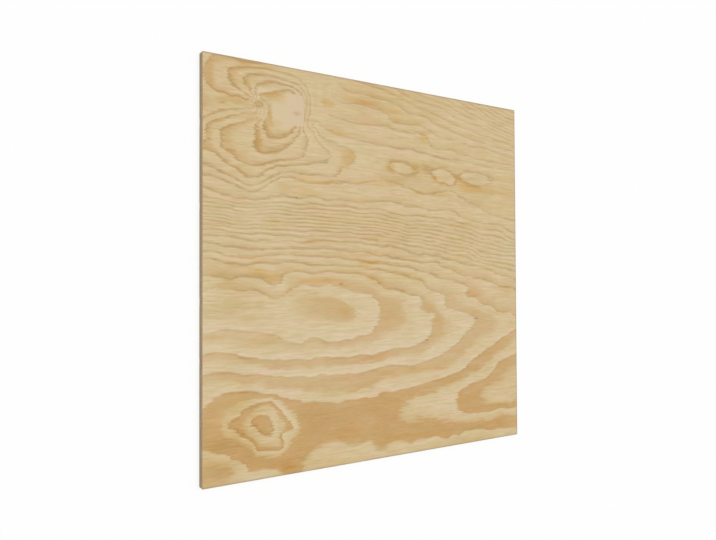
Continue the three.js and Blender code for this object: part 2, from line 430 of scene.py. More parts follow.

# %% [markdown]
# ## Where the wood is paler, and where its bands are stronger
#
# The lower half of the face was peeled nearly level with the rings, so its summer bands are wide and
# strong, and its spring wood is pale. Higher up the knife went through them at a steeper angle, and
# little shows but the autumn line of each year. The same springy sheet carries all three from a few
# listed places to the rest.

# %% Tone of the wood
TONES = np.array([  # (right, down, strength of summer, strength of the autumn line, paleness of spring)
    # the swirl and the upper left corner
    (30, 30, 0.40, 1.10, 0.50), (30, 130, 0.40, 1.05, 0.54), (130, 120, 0.34, 0.95, 0.60),
    (130, 20, 0.24, 1.00, 0.60), (80, 40, 0.34, 1.00, 0.60), (196, 20, 0.05, 0.15, 0.62),
    (196, 52, 0.05, 0.25, 0.62), (80, 62, 0.20, 0.35, 0.62), (180, 110, 0.15, 0.75, 0.66),
    (170, 45, 0.22, 0.48, 0.60), (92, 76, 0.25, 0.30, 0.64), (98, 100, 0.50, 1.30, 0.50),
    (90, 7, 0.35, 0.60, 0.50), (140, 11, 0.20, 0.50, 0.58), (8, 30, 0.50, 0.70, 0.50),
    # beside the swirl, and above the eyes
    (250, 20, 0.30, 0.50, 0.42), (250, 120, 0.12, 0.60, 0.58), (250, 60, 0.20, 0.60, 0.52),
    (270, 33, 0.50, 0.60, 0.45), (330, 40, 0.25, 0.55, 0.45), (320, 96, 0.14, 0.65, 0.62),
    (420, 30, 0.10, 0.58, 0.53), (420, 90, 0.12, 0.60, 0.55),
    # the eyes
    (430, 145, 0.15, 1.10, 0.48), (505, 114, 0.10, 0.60, 0.58), (392, 134, 0.20, 0.80, 0.54),
    (510, 150, 0.20, 1.00, 0.44), (345, 134, 0.20, 1.00, 0.46),
    # the right edge, and under the eyes
    (580, 30, 0.08, 0.62, 0.54), (580, 120, 0.12, 0.52, 0.57), (590, 180, 0.20, 0.38, 0.52),
    (520, 192, 0.20, 0.38, 0.58), (440, 182, 0.20, 0.55, 0.60),
    # the close grain
    (30, 220, 0.05, 0.90, 0.58), (300, 190, 0.25, 0.60, 0.65), (160, 225, 0.05, 1.00, 0.56),
    (300, 225, 0.05, 1.00, 0.50), (580, 220, 0.05, 0.90, 0.54), (588, 278, 0.05, 0.65, 0.68),
    (102, 198, 0.15, 0.60, 0.68), (450, 230, 0.05, 0.95, 0.56), (375, 234, 0.05, 0.75, 0.58),
    (30, 290, 0.20, 0.85, 0.60), (300, 285, 0.20, 0.80, 0.60), (160, 285, 0.15, 0.90, 0.65),
    (450, 290, 0.15, 0.70, 0.55), (580, 300, 0.10, 0.75, 0.52),
    # the great oval and its tip
    (30, 355, 0.25, 0.45, 0.55), (110, 370, 0.25, 0.40, 0.68), (200, 365, 0.55, 0.20, 0.64),
    (22, 306, 0.45, 0.80, 0.50), (34, 321, 0.55, 0.70, 0.45), (8, 334, 0.30, 0.15, 0.70),
    (200, 400, 0.40, 0.55, 0.72), (325, 380, 0.66, 0.25, 0.66), (345, 313, 0.30, 1.10, 0.58),
    (372, 334, 0.25, 0.85, 0.62), (370, 385, 0.55, 0.30, 0.64), (420, 380, 0.50, 0.40, 0.68),
    (520, 340, 0.40, 0.50, 0.60), (540, 395, 0.50, 0.40, 0.66), (590, 380, 0.35, 0.50, 0.60),
    # the bands under the oval
    (30, 440, 0.50, 0.75, 0.80), (250, 450, 0.62, 0.70, 0.90), (450, 440, 0.60, 0.65, 0.82),
    (350, 436, 0.42, 0.55, 0.80), (590, 440, 0.62, 0.60, 0.70), (20, 500, 0.66, 0.30, 0.50),
    (85, 488, 0.75, 0.50, 0.65),
    # the lower knot and its corner
    (90, 534, 0.75, 0.80, 0.30), (55, 530, 0.75, 1.00, 0.25), (115, 555, 0.55, 0.85, 0.50),
    (20, 545, 1.00, 0.30, 0.25), (62, 500, 0.75, 0.70, 0.12), (30, 525, 0.85, 0.40, 0.20),
    (60, 580, 1.10, 0.30, 0.30), (130, 592, 1.15, 0.30, 0.30),
    # the valley, the hook and the bottom edge
    (155, 545, 0.95, 0.20, 0.50), (200, 540, 0.95, 0.25, 0.50), (225, 514, 0.75, 0.30, 0.55),
    (300, 540, 0.98, 0.25, 0.65), (430, 530, 0.90, 0.30, 0.66), (440, 585, 1.00, 0.30, 0.50),
    (560, 585, 1.00, 0.30, 0.50), (550, 530, 0.85, 0.40, 0.48), (352, 527, 0.90, 0.05, 0.62),
    (15, 600, 0.62, 0.30, 0.37), (62, 603, 0.55, 0.30, 0.60), (220, 597, 0.60, 0.35, 0.42),
    (450, 603, 0.60, 0.35, 0.34), (595, 602, 0.60, 0.35, 0.45),
])
tone_strengths = [fit_map(TONES, TONES[:, column]) for column in (2, 3, 4)]
print(f"the tone is held by {len(TONES)} places")

# %% [markdown]
# ## The sheet as a fine mesh
#
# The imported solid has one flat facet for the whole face, which can't carry a map. A finer mesh takes its
# place, to the same size. The face is a grid, closest by the edges. Its rim is carried over the sanded
# arris and down the sawn edge in rows, with rows at each glue line, and one flat facet closes the back.

# %% Sizes of the sheet's details, in millimetres
VENEERS = [1.9, 2.7, 2.7, 2.7, 1.9]  # from the back up; their sum is the sheet's thickness
ARRIS = 0.6  # round between a face and an edge
CORNER = 0.9  # round of the face's corners
EDGE_STEPS = [0, 0.3, 0.6, 0.9, 1.6]  # grid lines beside the rim, measured in from it
GRID_CELLS = 252  # even cells across the rest of the face


def grid_lines(size):
    """Places of the grid lines across a face of this size: close by both rims, even between."""
    half = size / 2 - ARRIS
    near = np.array(EDGE_STEPS)
    middle = np.linspace(-half + near[-1], half - near[-1], GRID_CELLS + 1)
    return np.concatenate([-half + near[:-1], middle, (half - near[:-1])[::-1]])


def round_corners(x, y, half_x, half_y):
    """Moves the points in each corner square of the face onto a quarter disc."""
    over_x = np.clip((np.abs(x) - (half_x - CORNER)) / CORNER, 0, 1)
    over_y = np.clip((np.abs(y) - (half_y - CORNER)) / CORNER, 0, 1)
    in_x = CORNER * over_x * (1 - np.sqrt(1 - over_y**2 / 2))
    in_y = CORNER * over_y * (1 - np.sqrt(1 - over_x**2 / 2))
    return x - np.sign(x) * in_x, y - np.sign(y) * in_y


x_lines, y_lines = grid_lines(length_mm), grid_lines(width_mm)
columns, rows = len(x_lines), len(y_lines)
half_x, half_y = x_lines[-1], y_lines[-1]
face_x, face_y = np.meshgrid(x_lines, y_lines, indexing="ij")
face_x, face_y = round_corners(face_x.ravel(), face_y.ravel(), half_x, half_y)
spacing = x_lines[columns // 2] - x_lines[columns // 2 - 1]
print(f"face grid: {columns} by {rows} points, {spacing:.2f} mm apart")

# %% [markdown]
# ## The rim of the face
#
# The edge is built outwards from the rim, so each rim point needs its way out. Along a side that is
# square to the side, and round a corner it turns with the corner. Both come from one rule: the way out
# leads from the nearest place on a smaller face, which lies inside this one by the corner's round.

# %% The rim and its way out
index = np.arange(columns * rows).reshape(columns, rows)
rim = np.concatenate([index[:-1, 0], index[-1, :-1], index[:0:-1, -1], index[0, :0:-1]])
rim_x, rim_y = face_x[rim], face_y[rim]
from_corner_x = rim_x - np.clip(rim_x, -half_x + CORNER, half_x - CORNER)
from_corner_y = rim_y - np.clip(rim_y, -half_y + CORNER, half_y - CORNER)
reach = np.hypot(from_corner_x, from_corner_y)
out_x, out_y = from_corner_x / reach, from_corner_y / reach
print(f"rim: {len(rim)} points")

# %% [markdown]
# ## The sawn edge in relief
#
# Round the edge the plies alternate. One shows the ends of its fibres, and the next shows them running
# along the edge, because each veneer is glued across its neighbour. The saw and the sander leave the
# two at slightly different depths. It is only a tenth of a millimetre, but it catches the light in
# a row of fine steps, which a printed stripe wouldn't. So the rows of the edge follow it, and a few
# splinters are missing from the arris where the saw came out across the grain.

# %% How the edge was cut
END_GRAIN_DEPTH = 0.13  # how far the saw and sander cut a ply back where its grain ends
LONG_GRAIN_DEPTH = 0.03  # and where its grain runs along the edge
RIPPLE = 0.02  # how far the cut wanders in and out of that
random = np.random.default_rng(7)


def wander(count, period, strength):
    """A smooth closed curve of random wiggles along the rim."""
    knots = random.uniform(-strength, strength, max(count // period, 4))
    at = np.arange(count) * len(knots) / count
    whole = at.astype(int)
    share = (1 - np.cos((at - whole) * np.pi)) / 2
    return knots[whole] * (1 - share) + knots[(whole + 1) % len(knots)] * share


def ply_depth(ply):
    """How far the rim stands back at one ply: deeper where this ply's grain ends at the edge."""
    grain_along_x = ply % 2 == 0
    ends = np.abs(out_x) if grain_along_x else np.abs(out_y)
    depth = LONG_GRAIN_DEPTH + (END_GRAIN_DEPTH - LONG_GRAIN_DEPTH) * ends
    return depth + RIPPLE + wander(len(rim), period=4, strength=RIPPLE)


def splinters(count, length, depth):
    """Nicks in a rim: how much of the arris is missing at each point. length is in points, depth in mm."""
    missing = np.zeros(len(rim))
    steps = np.arange(len(rim))
    for centre in random.integers(0, len(rim), count):
        away = np.abs((steps - centre + len(rim) // 2) % len(rim) - len(rim) // 2)
        size = random.uniform(0.4, 1)
        missing = np.maximum(missing, size * depth * np.clip(1 - away / (size * length), 0, 1))
    return missing


print(f"end grain is cut {END_GRAIN_DEPTH - LONG_GRAIN_DEPTH:.2f} mm deeper than long grain")

# %% [markdown]
# ## Rows from face to back
#
# A row is a copy of the rim, moved out and down. Three rows carry it over each arris, and three go to
# each ply: its top, its middle and its bottom. Between one ply's bottom and the next one's top lies the
# step at the glue.

# %% Rows down the edge
ARRIS_TURNS = [30, 60, 90]  # rows over the arris, in degrees
GLUE_STEP = 0.14  # half the height of the step between two plies
glue_heights = np.cumsum(VENEERS)[:-1]


def level(height):
    """The same height for every point of the rim."""
    return np.full(len(rim), height)


def arris_rows(nicks):
    """The rows over one arris, as how far they stand out of the rim and how far from the face."""
    turns = np.radians(ARRIS_TURNS)
    return [((ARRIS - nicks) * np.sin(turn), level(ARRIS * (1 - np.cos(turn)))) for turn in turns]


edge_rows = []  # (distance out from the rim, height), for every rim point, from the top down
for out, down in arris_rows(splinters(count=26, length=3, depth=0.22)):
    edge_rows.append((out, thickness_mm - down))
for ply in reversed(range(len(VENEERS))):
    top = thickness_mm - ARRIS if ply == len(VENEERS) - 1 else glue_heights[ply] - GLUE_STEP
    bottom = ARRIS if ply == 0 else glue_heights[ply - 1] + GLUE_STEP
    out = ARRIS - ply_depth(ply)
    for height in (top, (top + bottom) / 2, bottom):
        if height not in (thickness_mm - ARRIS, ARRIS):  # an arris has its own row there
            edge_rows.append((out, level(height)))
edge_rows += reversed(arris_rows(splinters(count=34, length=4, depth=0.3)))
edge_rows.append((level(0), level(0)))
print(f"edge: {len(edge_rows)} rows of {len(rim)} points")

# %% [markdown]
# ## From points to a mesh
#
# A mesh is a list of points and a list of facets, and each facet names its points in turn, against the
# clock as seen from outside. The face's facets join neighbours in the grid, and the edge's join one row
# to the next. Each facet also says which of the three materials it wears: face, edge or back.

# %% Join the points and facets
points = [np.column_stack([face_x, face_y, np.full(len(face_x), thickness_mm)])]
for out, height in edge_rows:
    points.append(np.column_stack([rim_x + out_x * out, rim_y + out_y * out, height]))
points = np.concatenate(points)

cells = index[:-1, :-1], index[1:, :-1], index[1:, 1:], index[:-1, 1:]
face_facets = np.stack([corner.ravel() for corner in cells], 1)
loops = [rim]
for row in range(len(edge_rows)):
    loops.append(len(face_x) + row * len(rim) + np.arange(len(rim)))
edge_facets = []
for upper, lower in zip(loops, loops[1:]):
    edge_facets.append(np.stack([lower, np.roll(lower, -1), np.roll(upper, -1), upper], 1))
edge_facets = np.concatenate(edge_facets)
facets = face_facets.tolist() + edge_facets.tolist() + [loops[-1][::-1].tolist()]

FACE, EDGE, BACK = 0, 1, 2  # material slots
slots = np.concatenate([np.full(len(face_facets), FACE), np.full(len(edge_facets), EDGE), [BACK]])
mesh = bpy.data.meshes.new("plywood")
mesh.from_pydata((points * MM).tolist(), [], facets)
mesh.polygons.foreach_set("material_index", slots.astype(np.int32))
mesh.polygons.foreach_set("use_smooth", slots == EDGE)
print(f"mesh: {len(mesh.vertices)} points, {len(mesh.polygons)} facets")

# %% [markdown]
# ## What the mesh keeps for its materials
#
# A material can read numbers that are kept at each point of the mesh, and blends them between points.
# So the map's height goes there, and its slope, which tells how far in millimetres the next ring is.
# The tone goes beside them. Solving the map once here is quicker than any sum in a material, which
# would be worked out again for each ray of light.

# %% Store the map on the mesh
right_mm = points[:, 0] + length_mm / 2
down_mm = width_mm / 2 - points[:, 1]
SLOPE_STEP = 1.0  # millimetres over which the map's slope is measured


def store(name, *parts):
    """Keeps one vector for each point of the mesh, for a material to read."""
    values = np.column_stack(parts).astype(np.float32)
    mesh.attributes.new(name, "FLOAT_VECTOR", "POINT").data.foreach_set("vector", values.ravel())


rings_here = ring_number(right_mm, down_mm)
slope_right = (ring_number(right_mm + SLOPE_STEP, down_mm) - rings_here) / SLOPE_STEP
slope_down = (ring_number(right_mm, down_mm + SLOPE_STEP) - rings_here) / SLOPE_STEP
store("growth", rings_here, slope_right, slope_down)
store("tone", *[read_map(right_mm, down_mm, TONES, strengths) for strengths in tone_strengths])
print(f"ring numbers run from {rings_here.min():.1f} to {rings_here.max():.1f}")

# %% [markdown]
# ## Stains
#
# Resin and sap colour the wood in soft places of their own. Amber is resin, ash is a dull, greyish
# olive, and bleach is where the veneer is cleaner than the wood round it. Each is a soft oval, and
# the material breaks it up with the streaks of the grain.

# %% Stains of the upper half
AMBER, ASH, BLEACH = 0, 1, 2
UPPER_STAINS = [  # (which, right, down, half length, half height, strength)
    # the upper left corner and the swirl
    (AMBER, 84, 7, 26, 4, 1.05), (ASH, 88, 6, 14, 4, 0.50), (ASH, 64, 7, 12, 4, 1.30),
    (AMBER, 63, 7, 11, 4, 1.50), (AMBER, 45, 28, 8, 17, 0.54), (AMBER, 65, 32, 6, 12, 0.47),
    (AMBER, 12, 32, 6, 18, 0.60), (ASH, 12, 32, 6, 18, 0.40), (AMBER, 48, 61, 26, 7, 0.85),
    (ASH, 50, 60, 22, 6, 0.40), (AMBER, 107, 84, 5, 10, 1.22), (AMBER, 84, 120, 6, 14, 1.20),
    (AMBER, 108, 131, 18, 4, 0.40), (AMBER, 38, 112, 9, 13, 0.54), (AMBER, 46, 126, 16, 7, 0.40),
    (ASH, 46, 126, 16, 7, 0.40), (AMBER, 50, 142, 20, 7, 0.54), (AMBER, 60, 163, 16, 6, 0.54),
    (AMBER, 108, 48, 16, 5, 0.55), (BLEACH, 58, 120, 20, 20, 0.30), (BLEACH, 91, 78, 7, 6, 0.95),
    (AMBER, 103, 78, 4, 14, 0.75), (ASH, 103, 78, 4, 14, 0.45), (AMBER, 98, 97, 5, 9, 0.60),
    (ASH, 98, 97, 5, 9, 0.80), (BLEACH, 92, 42, 14, 2.5, 1.60), (BLEACH, 86, 53, 6, 4, 1.10),
    (BLEACH, 110, 37, 12, 2.5, 0.70), (BLEACH, 78, 54, 6, 4, 0.70), (AMBER, 115, 48, 18, 6, 0.70),
    (ASH, 110, 49, 18, 6, 0.75), (ASH, 93, 33, 13, 4, 0.90), (AMBER, 203, 44, 11, 8, 1.60),
    (ASH, 200, 19, 6, 13, 0.80), (ASH, 180, 30, 4, 24, 0.50), (ASH, 167, 48, 4, 11, 0.70),
    (BLEACH, 174, 50, 3, 15, 0.60), (BLEACH, 164, 69, 4, 5, 0.60), (AMBER, 237, 128, 12, 13, 1.05),
    (ASH, 237, 128, 12, 13, 0.35), (AMBER, 249, 120, 9, 8, 0.70), (AMBER, 225, 146, 8, 9, 0.50),
    (AMBER, 182, 171, 36, 5, 0.65), (AMBER, 164, 163, 18, 4, 0.70), (AMBER, 250, 164, 50, 4, 0.40),
    (AMBER, 222, 89, 20, 6, 0.75), (AMBER, 255, 68, 34, 3, 0.40), (BLEACH, 272, 130, 18, 14, 0.25),
    (BLEACH, 103, 162, 15, 5, 0.80), (BLEACH, 76, 182, 10, 4, 0.60), (AMBER, 76, 84, 14, 8, 0.40),
    (ASH, 76, 84, 14, 8, 0.35),
    # above the eyes, the eyes, and the ground under them
    (AMBER, 276, 33, 46, 6, 0.85), (ASH, 276, 34, 40, 5, 0.50), (AMBER, 240, 26, 16, 6, 0.35),
    (AMBER, 330, 41, 18, 5, 0.60), (AMBER, 333, 54, 10, 5, 0.90), (AMBER, 330, 13, 14, 6, 0.25),
    (AMBER, 365, 52, 20, 7, 0.60), (ASH, 365, 52, 26, 8, 0.30), (AMBER, 392, 78, 8, 8, 1.40),
    (AMBER, 418, 43, 10, 12, 0.25), (ASH, 425, 90, 20, 5, 0.40), (AMBER, 466, 91, 16, 6, 0.55),
    (AMBER, 522, 90, 18, 7, 0.55), (ASH, 522, 90, 18, 7, 0.45), (BLEACH, 555, 90, 18, 9, 0.25),
    (AMBER, 322, 134, 9, 8, 1.80), (AMBER, 369, 134, 6, 7, 1.60), (AMBER, 391, 132, 19, 7, 1.15),
    (AMBER, 414, 143, 8, 6, 0.90), (AMBER, 466, 141, 10, 7, 0.85), (AMBER, 478, 150, 12, 8, 0.90),
    (AMBER, 345, 143, 22, 3, 0.70), (AMBER, 438, 151, 24, 3, 0.60), (AMBER, 400, 126, 60, 2.5, 0.60),
    (ASH, 400, 126, 60, 2.5, 0.40), (ASH, 505, 129, 34, 2.5, 0.30), (AMBER, 499, 156, 26, 7, 1.60),
    (AMBER, 548, 157, 26, 6, 1.10), (AMBER, 584, 152, 20, 4, 0.80), (AMBER, 585, 162, 20, 5, 0.85),
    (ASH, 541, 134, 9, 7, 0.40), (ASH, 436, 140, 18, 7, 0.35), (ASH, 508, 138, 24, 6, 0.60),
    (AMBER, 416, 146, 8, 5, 0.60), (AMBER, 316, 160, 26, 6, 1.00), (AMBER, 381, 172, 12, 3, 1.10),
    (BLEACH, 357, 153, 14, 6, 0.50), (AMBER, 432, 173, 26, 5, 1.10), (ASH, 430, 172, 30, 5, 0.80),
    (AMBER, 482, 203, 24, 7, 0.40), (ASH, 490, 184, 34, 3, 0.70), (AMBER, 500, 188, 20, 2.5, 0.60),
    (AMBER, 372, 194, 24, 4, 0.35), (ASH, 350, 150, 56, 12, 0.50),
    # the close grain
    (AMBER, 262, 189, 34, 7, 0.35), (AMBER, 106, 235, 14, 3, 0.80), (AMBER, 200, 220, 60, 16, 0.22),
    (AMBER, 335, 232, 40, 18, 0.25), (BLEACH, 588, 286, 22, 16, 0.50), (BLEACH, 195, 246, 20, 5, 0.60),
    (AMBER, 70, 272, 18, 5, 0.40), (AMBER, 290, 255, 60, 3, 0.30), (AMBER, 290, 278, 66, 4, 0.35),
    (AMBER, 465, 306, 18, 6, 0.50), (ASH, 465, 306, 18, 6, 0.40), (AMBER, 281, 292, 30, 4, 0.90),
    (AMBER, 240, 281, 60, 4, 0.30), (AMBER, 462, 283, 26, 4, 0.35), (ASH, 45, 255, 12, 5, 0.30),
    (BLEACH, 102, 200, 26, 7, 1.00), (AMBER, 162, 187, 20, 6, 0.75),
]
print(f"{len(UPPER_STAINS)} stains in the upper half")

# %% [markdown]
# ## Stains of the lower half
#
# The lower half has stains of its own: the dull heart of the great oval, the resin along the valley and
# the bottom edge, and the clean wood just outside the ring of the lower knot.

# %% Stains of the lower half
LOWER_STAINS = [
    # the great oval
    (AMBER, 82, 309, 16, 6, 1.30), (AMBER, 108, 317, 15, 6, 1.60), (AMBER, 184, 321, 42, 5, 1.60),
    (AMBER, 22, 297, 22, 2.5, 0.60), (AMBER, 52, 302, 20, 2.5, 0.60), (ASH, 44, 301, 40, 4, 0.50),
    (ASH, 31, 313, 8, 3.5, 0.90), (AMBER, 38, 324, 16, 4, 0.40), (ASH, 38, 324, 16, 4, 0.40),
    (BLEACH, 10, 328, 22, 9, 0.60), (ASH, 96, 318, 22, 8, 0.45), (BLEACH, 124, 330, 9, 8, 0.90),
    (BLEACH, 100, 330, 10, 4, 0.50), (BLEACH, 225, 343, 30, 4, 0.40), (AMBER, 138, 335, 9, 9, 0.40),
    (AMBER, 228, 331, 18, 4, 0.50), (AMBER, 136, 305, 16, 5, 0.55), (AMBER, 112, 345, 22, 3, 0.35),
    (ASH, 34, 313, 12, 9, 0.40), (AMBER, 250, 307, 60, 4, 0.40), (AMBER, 288, 318, 16, 8, 0.80),
    (ASH, 288, 316, 14, 7, 0.50), (AMBER, 348, 315, 30, 6, 0.75), (AMBER, 378, 325, 14, 7, 0.40),
    (AMBER, 408, 308, 14, 5, 0.50), (AMBER, 300, 336, 24, 6, 0.35), (BLEACH, 375, 341, 16, 5, 0.90),
    (BLEACH, 405, 294, 16, 5, 0.60), (ASH, 88, 355, 8, 7, 0.95), (ASH, 38, 362, 46, 18, 0.75),
    (AMBER, 74, 376, 16, 8, 0.25), (AMBER, 234, 370, 13, 9, 0.80), (ASH, 190, 362, 34, 14, 0.40),
    (AMBER, 320, 370, 18, 26, 0.30), (AMBER, 105, 405, 36, 8, 0.45), (ASH, 100, 412, 36, 2.5, 0.90),
    (AMBER, 14, 401, 20, 5, 0.50), (ASH, 14, 401, 20, 5, 0.50), (ASH, 188, 413, 38, 2, 0.60),
    (ASH, 118, 425, 36, 7, 0.60), (AMBER, 76, 414, 20, 5, 0.50), (ASH, 74, 379, 18, 6, 0.50),
    (AMBER, 402, 366, 13, 7, 0.80), (BLEACH, 424, 364, 10, 6, 1.10), (ASH, 439, 352, 7, 9, 0.40),
    (ASH, 362, 386, 14, 16, 0.35), (AMBER, 346, 390, 12, 8, 0.40), (ASH, 346, 390, 12, 8, 0.40),
    (ASH, 462, 395, 16, 12, 0.45), (AMBER, 426, 392, 10, 16, 0.35), (AMBER, 505, 345, 16, 16, 0.40),
    (BLEACH, 508, 358, 12, 5, 0.30), (BLEACH, 554, 345, 18, 6, 0.60), (AMBER, 506, 378, 14, 8, 0.45),
    (AMBER, 590, 340, 20, 6, 0.80), (ASH, 590, 340, 20, 6, 0.40), (AMBER, 575, 382, 32, 6, 0.45),
    # the lower bands, the valley, the hook and the bottom edge
    (AMBER, 322, 442, 24, 5, 0.35), (AMBER, 434, 469, 20, 10, 0.65), (ASH, 434, 472, 20, 6, 0.40),
    (AMBER, 462, 498, 20, 6, 0.50), (BLEACH, 45, 473, 20, 6, 1.00), (AMBER, 228, 474, 24, 5, 0.50),
    (AMBER, 545, 442, 34, 8, 0.30), (AMBER, 315, 510, 22, 9, 0.70), (AMBER, 236, 561, 34, 9, 0.75),
    (ASH, 230, 528, 70, 18, 0.45), (ASH, 178, 530, 24, 22, 0.40), (BLEACH, 196, 520, 30, 6, 0.25),
    (BLEACH, 280, 552, 18, 7, 0.35), (AMBER, 300, 556, 16, 16, 0.30), (BLEACH, 405, 558, 18, 6, 0.50),
    (BLEACH, 272, 548, 20, 10, 0.35), (AMBER, 350, 581, 90, 6, 0.45), (AMBER, 470, 522, 9, 13, 0.50),
    (AMBER, 562, 548, 52, 4, 0.50), (AMBER, 570, 583, 46, 7, 0.40), (ASH, 490, 604, 120, 6, 0.50),
    (ASH, 500, 584, 60, 5, 0.60), (BLEACH, 586, 545, 22, 5, 0.60), (AMBER, 585, 450, 22, 6, 0.45),
    (ASH, 585, 450, 22, 6, 0.30), (AMBER, 575, 594, 34, 5, 0.40), (ASH, 575, 594, 34, 5, 0.30),
    (AMBER, 500, 525, 20, 14, 0.25), (AMBER, 560, 475, 40, 8, 0.30), (AMBER, 385, 470, 42, 7, 0.80),
    (AMBER, 312, 473, 20, 8, 0.80), (ASH, 230, 496, 90, 4, 0.30),
    # the lower knot and the corner
    (AMBER, 35, 552, 32, 11, 0.25), (ASH, 35, 552, 32, 11, 0.75), (AMBER, 108, 591, 44, 8, 0.45),
    (ASH, 108, 591, 44, 8, 0.30), (AMBER, 132, 600, 13, 8, 0.90), (ASH, 132, 598, 14, 7, 0.65),
    (ASH, 88, 583, 18, 6, 1.00), (AMBER, 84, 581, 12, 6, 0.30), (AMBER, 55, 535, 14, 12, 0.60),
    (AMBER, 70, 556, 12, 9, 0.45), (AMBER, 82, 520, 12, 6, 0.60), (AMBER, 134, 538, 7, 6, 0.70),
    (AMBER, 12, 507, 13, 13, 0.40), (BLEACH, 26, 517, 22, 12, 0.80), (BLEACH, 62, 520, 14, 4, 0.60),
    (BLEACH, 14, 534, 14, 8, 0.50), (BLEACH, 40, 490, 24, 4, 0.30), (ASH, 40, 520, 8, 16, 0.30),
    (ASH, 24, 556, 24, 8, 0.50), (AMBER, 90, 534, 14, 11, 0.35), (BLEACH, 112, 503, 7, 4, 0.90),
    (BLEACH, 121, 511, 7, 5, 0.90), (BLEACH, 131, 521, 7, 6, 0.90), (BLEACH, 142, 532, 8, 7, 0.90),
    (BLEACH, 151, 540, 6, 4, 0.60), (BLEACH, 127, 556, 5, 9, 0.70), (BLEACH, 112, 540, 4, 14, 0.80),
    (BLEACH, 90, 504, 14, 3, 0.50), (BLEACH, 74, 497, 16, 4, 0.60), (BLEACH, 66, 548, 10, 6, 0.50),
    (BLEACH, 118, 577, 20, 4, 0.70), (BLEACH, 138, 571, 9, 5, 1.10), (AMBER, 74, 571, 14, 6, 0.50),
    (ASH, 74, 571, 14, 6, 0.70), (ASH, 28, 588, 32, 16, 1.05),
]
print(f"{len(LOWER_STAINS)} stains in the lower half")

# %% [markdown]
# ## From stains to numbers
#
# Each stain could be a few nodes, but with more than two hundred of them the material would be slow.
# The mesh has points enough to carry them. So they are summed here, and the material reads only three
# numbers at each point: how much amber, ash and bleach lies there.

# %% Lay the stains on the mesh
FALL_OFF = 1.5  # 1 is a bell curve, and more keeps a stain even in the middle and short at its rim
stains_here = np.zeros((len(points), 3))
for which, right, down, half_length, half_height, strength in UPPER_STAINS + LOWER_STAINS:
    away = ((right_mm - right) / half_length) ** 2 + ((down_mm - down) / half_height) ** 2
    stains_here[:, which] += strength * np.exp(-(away**FALL_OFF))
store("stain", stains_here)
print(f"the strongest spot of a stain is {stains_here.max():.2f}")

# %% [markdown]
# ## The way out, for the edge's material
#
# On one side of the sheet a ply shows the ends of its fibres, and round the corner it shows their
# length. The edge's material has to know which side it is on, so each point keeps its way out.

# %% Which way each point of the edge faces
outward = np.zeros((len(points), 3))
outward[len(face_x) :, :2] = np.tile(np.column_stack([out_x, out_y]), (len(edge_rows), 1))
store("outward", outward)
print("the mesh keeps", ", ".join(a.name for a in mesh.attributes if a.data_type == "FLOAT_VECTOR"))

# %% [markdown]
# ## A place for every facet in the unrolled picture
#
# The finished colours can be baked to a picture, so the mesh says where each facet lies in it. The face
# takes the largest square, the back a smaller one, and the four edges lie in strips beside them.

# %% Unroll the mesh
FACE_SHARE, BACK_SHARE = 0.72, 0.255  # sides of the two squares, as shares of the picture's side
STRIP = 0.03  # height of an edge's strip
GAP = 0.005  # between any two of them
uv_layer = mesh.uv_layers.new(name="OFBake")
corner_points = np.empty(len(mesh.loops), np.int32)
mesh.loops.foreach_get("vertex_index", corner_points)
corner_slots = np.repeat(slots, [len(facet) for facet in facets])
shares = points[corner_points] / (length_mm, width_mm, thickness_mm) + (0.5, 0.5, 0)
on_face, on_edge, on_back = (corner_slots == slot for slot in (FACE, EDGE, BACK))
uv = np.zeros((len(mesh.loops), 2))
uv[on_face] = GAP + FACE_SHARE * shares[on_face, :2]
uv[on_back] = (2 * GAP + FACE_SHARE, GAP) + BACK_SHARE * shares[on_back, :2]

facet_out_x = np.tile(out_x + np.roll(out_x, -1), len(edge_rows))
facet_out_y = np.tile(out_y + np.roll(out_y, -1), len(edge_rows))
faces_x = np.abs(facet_out_x) > np.abs(facet_out_y)
side = np.where(faces_x, np.where(facet_out_x > 0, 0, 1), np.where(facet_out_y > 0, 2, 3))
side = np.repeat(side, 4)  # for each corner of a facet
along = np.where(side < 2, shares[on_edge, 1], shares[on_edge, 0])
strip_start = 2 * GAP + FACE_SHARE + side * (STRIP + GAP)
uv[on_edge] = np.column_stack([GAP + FACE_SHARE * along, strip_start + STRIP * shares[on_edge, 2]])
uv_layer.data.foreach_set("uv", uv.astype(np.float32).ravel())
mesh.update()
print(f"unrolled corners: {len(uv)}, from {uv.min():.3f} to {uv.max():.3f}")

# %% [markdown]
# ## Sums on sockets
#
# A material is a net of small nodes, and a sum such as (1 - a) * b takes three of them. The class below
# wraps one socket and takes over Python's signs, so that such a sum is written as it is read, and each
# sign adds its node. Numbers go through Math nodes, and colours and vectors through Vector Math.

# %% A socket that can be added and multiplied
class Value:
    """One socket of a material. A sign between two of them, or with a number, adds the node for it."""

    def __init__(self, paint, socket):
        self.paint = paint
        self.socket = socket

    def __add__(self, other):
        return self.paint.sum("ADD", self, other)

    def __sub__(self, other):
        return self.paint.sum("SUBTRACT", self, other)

    def __rsub__(self, other):
        return self.paint.sum("SUBTRACT", other, self)

    def __mul__(self, other):
        return self.paint.sum("MULTIPLY", self, other)

    def __truediv__(self, other):
        return self.paint.sum("DIVIDE", self, other)

    def __rtruediv__(self, other):
        return self.paint.sum("DIVIDE", other, self)

    __radd__ = __add__
    __rmul__ = __mul__


print("a socket takes +, -, * and /")

# %% [markdown]
# ## A material under construction
#
# One method adds any node: its type, then its settings, then its sockets, each a number or a link. The
# others are the few moves that wood needs: a fade between two values, a mix of two colours, and noise
# that is stretched along the grain, because a fibre is long and thin.

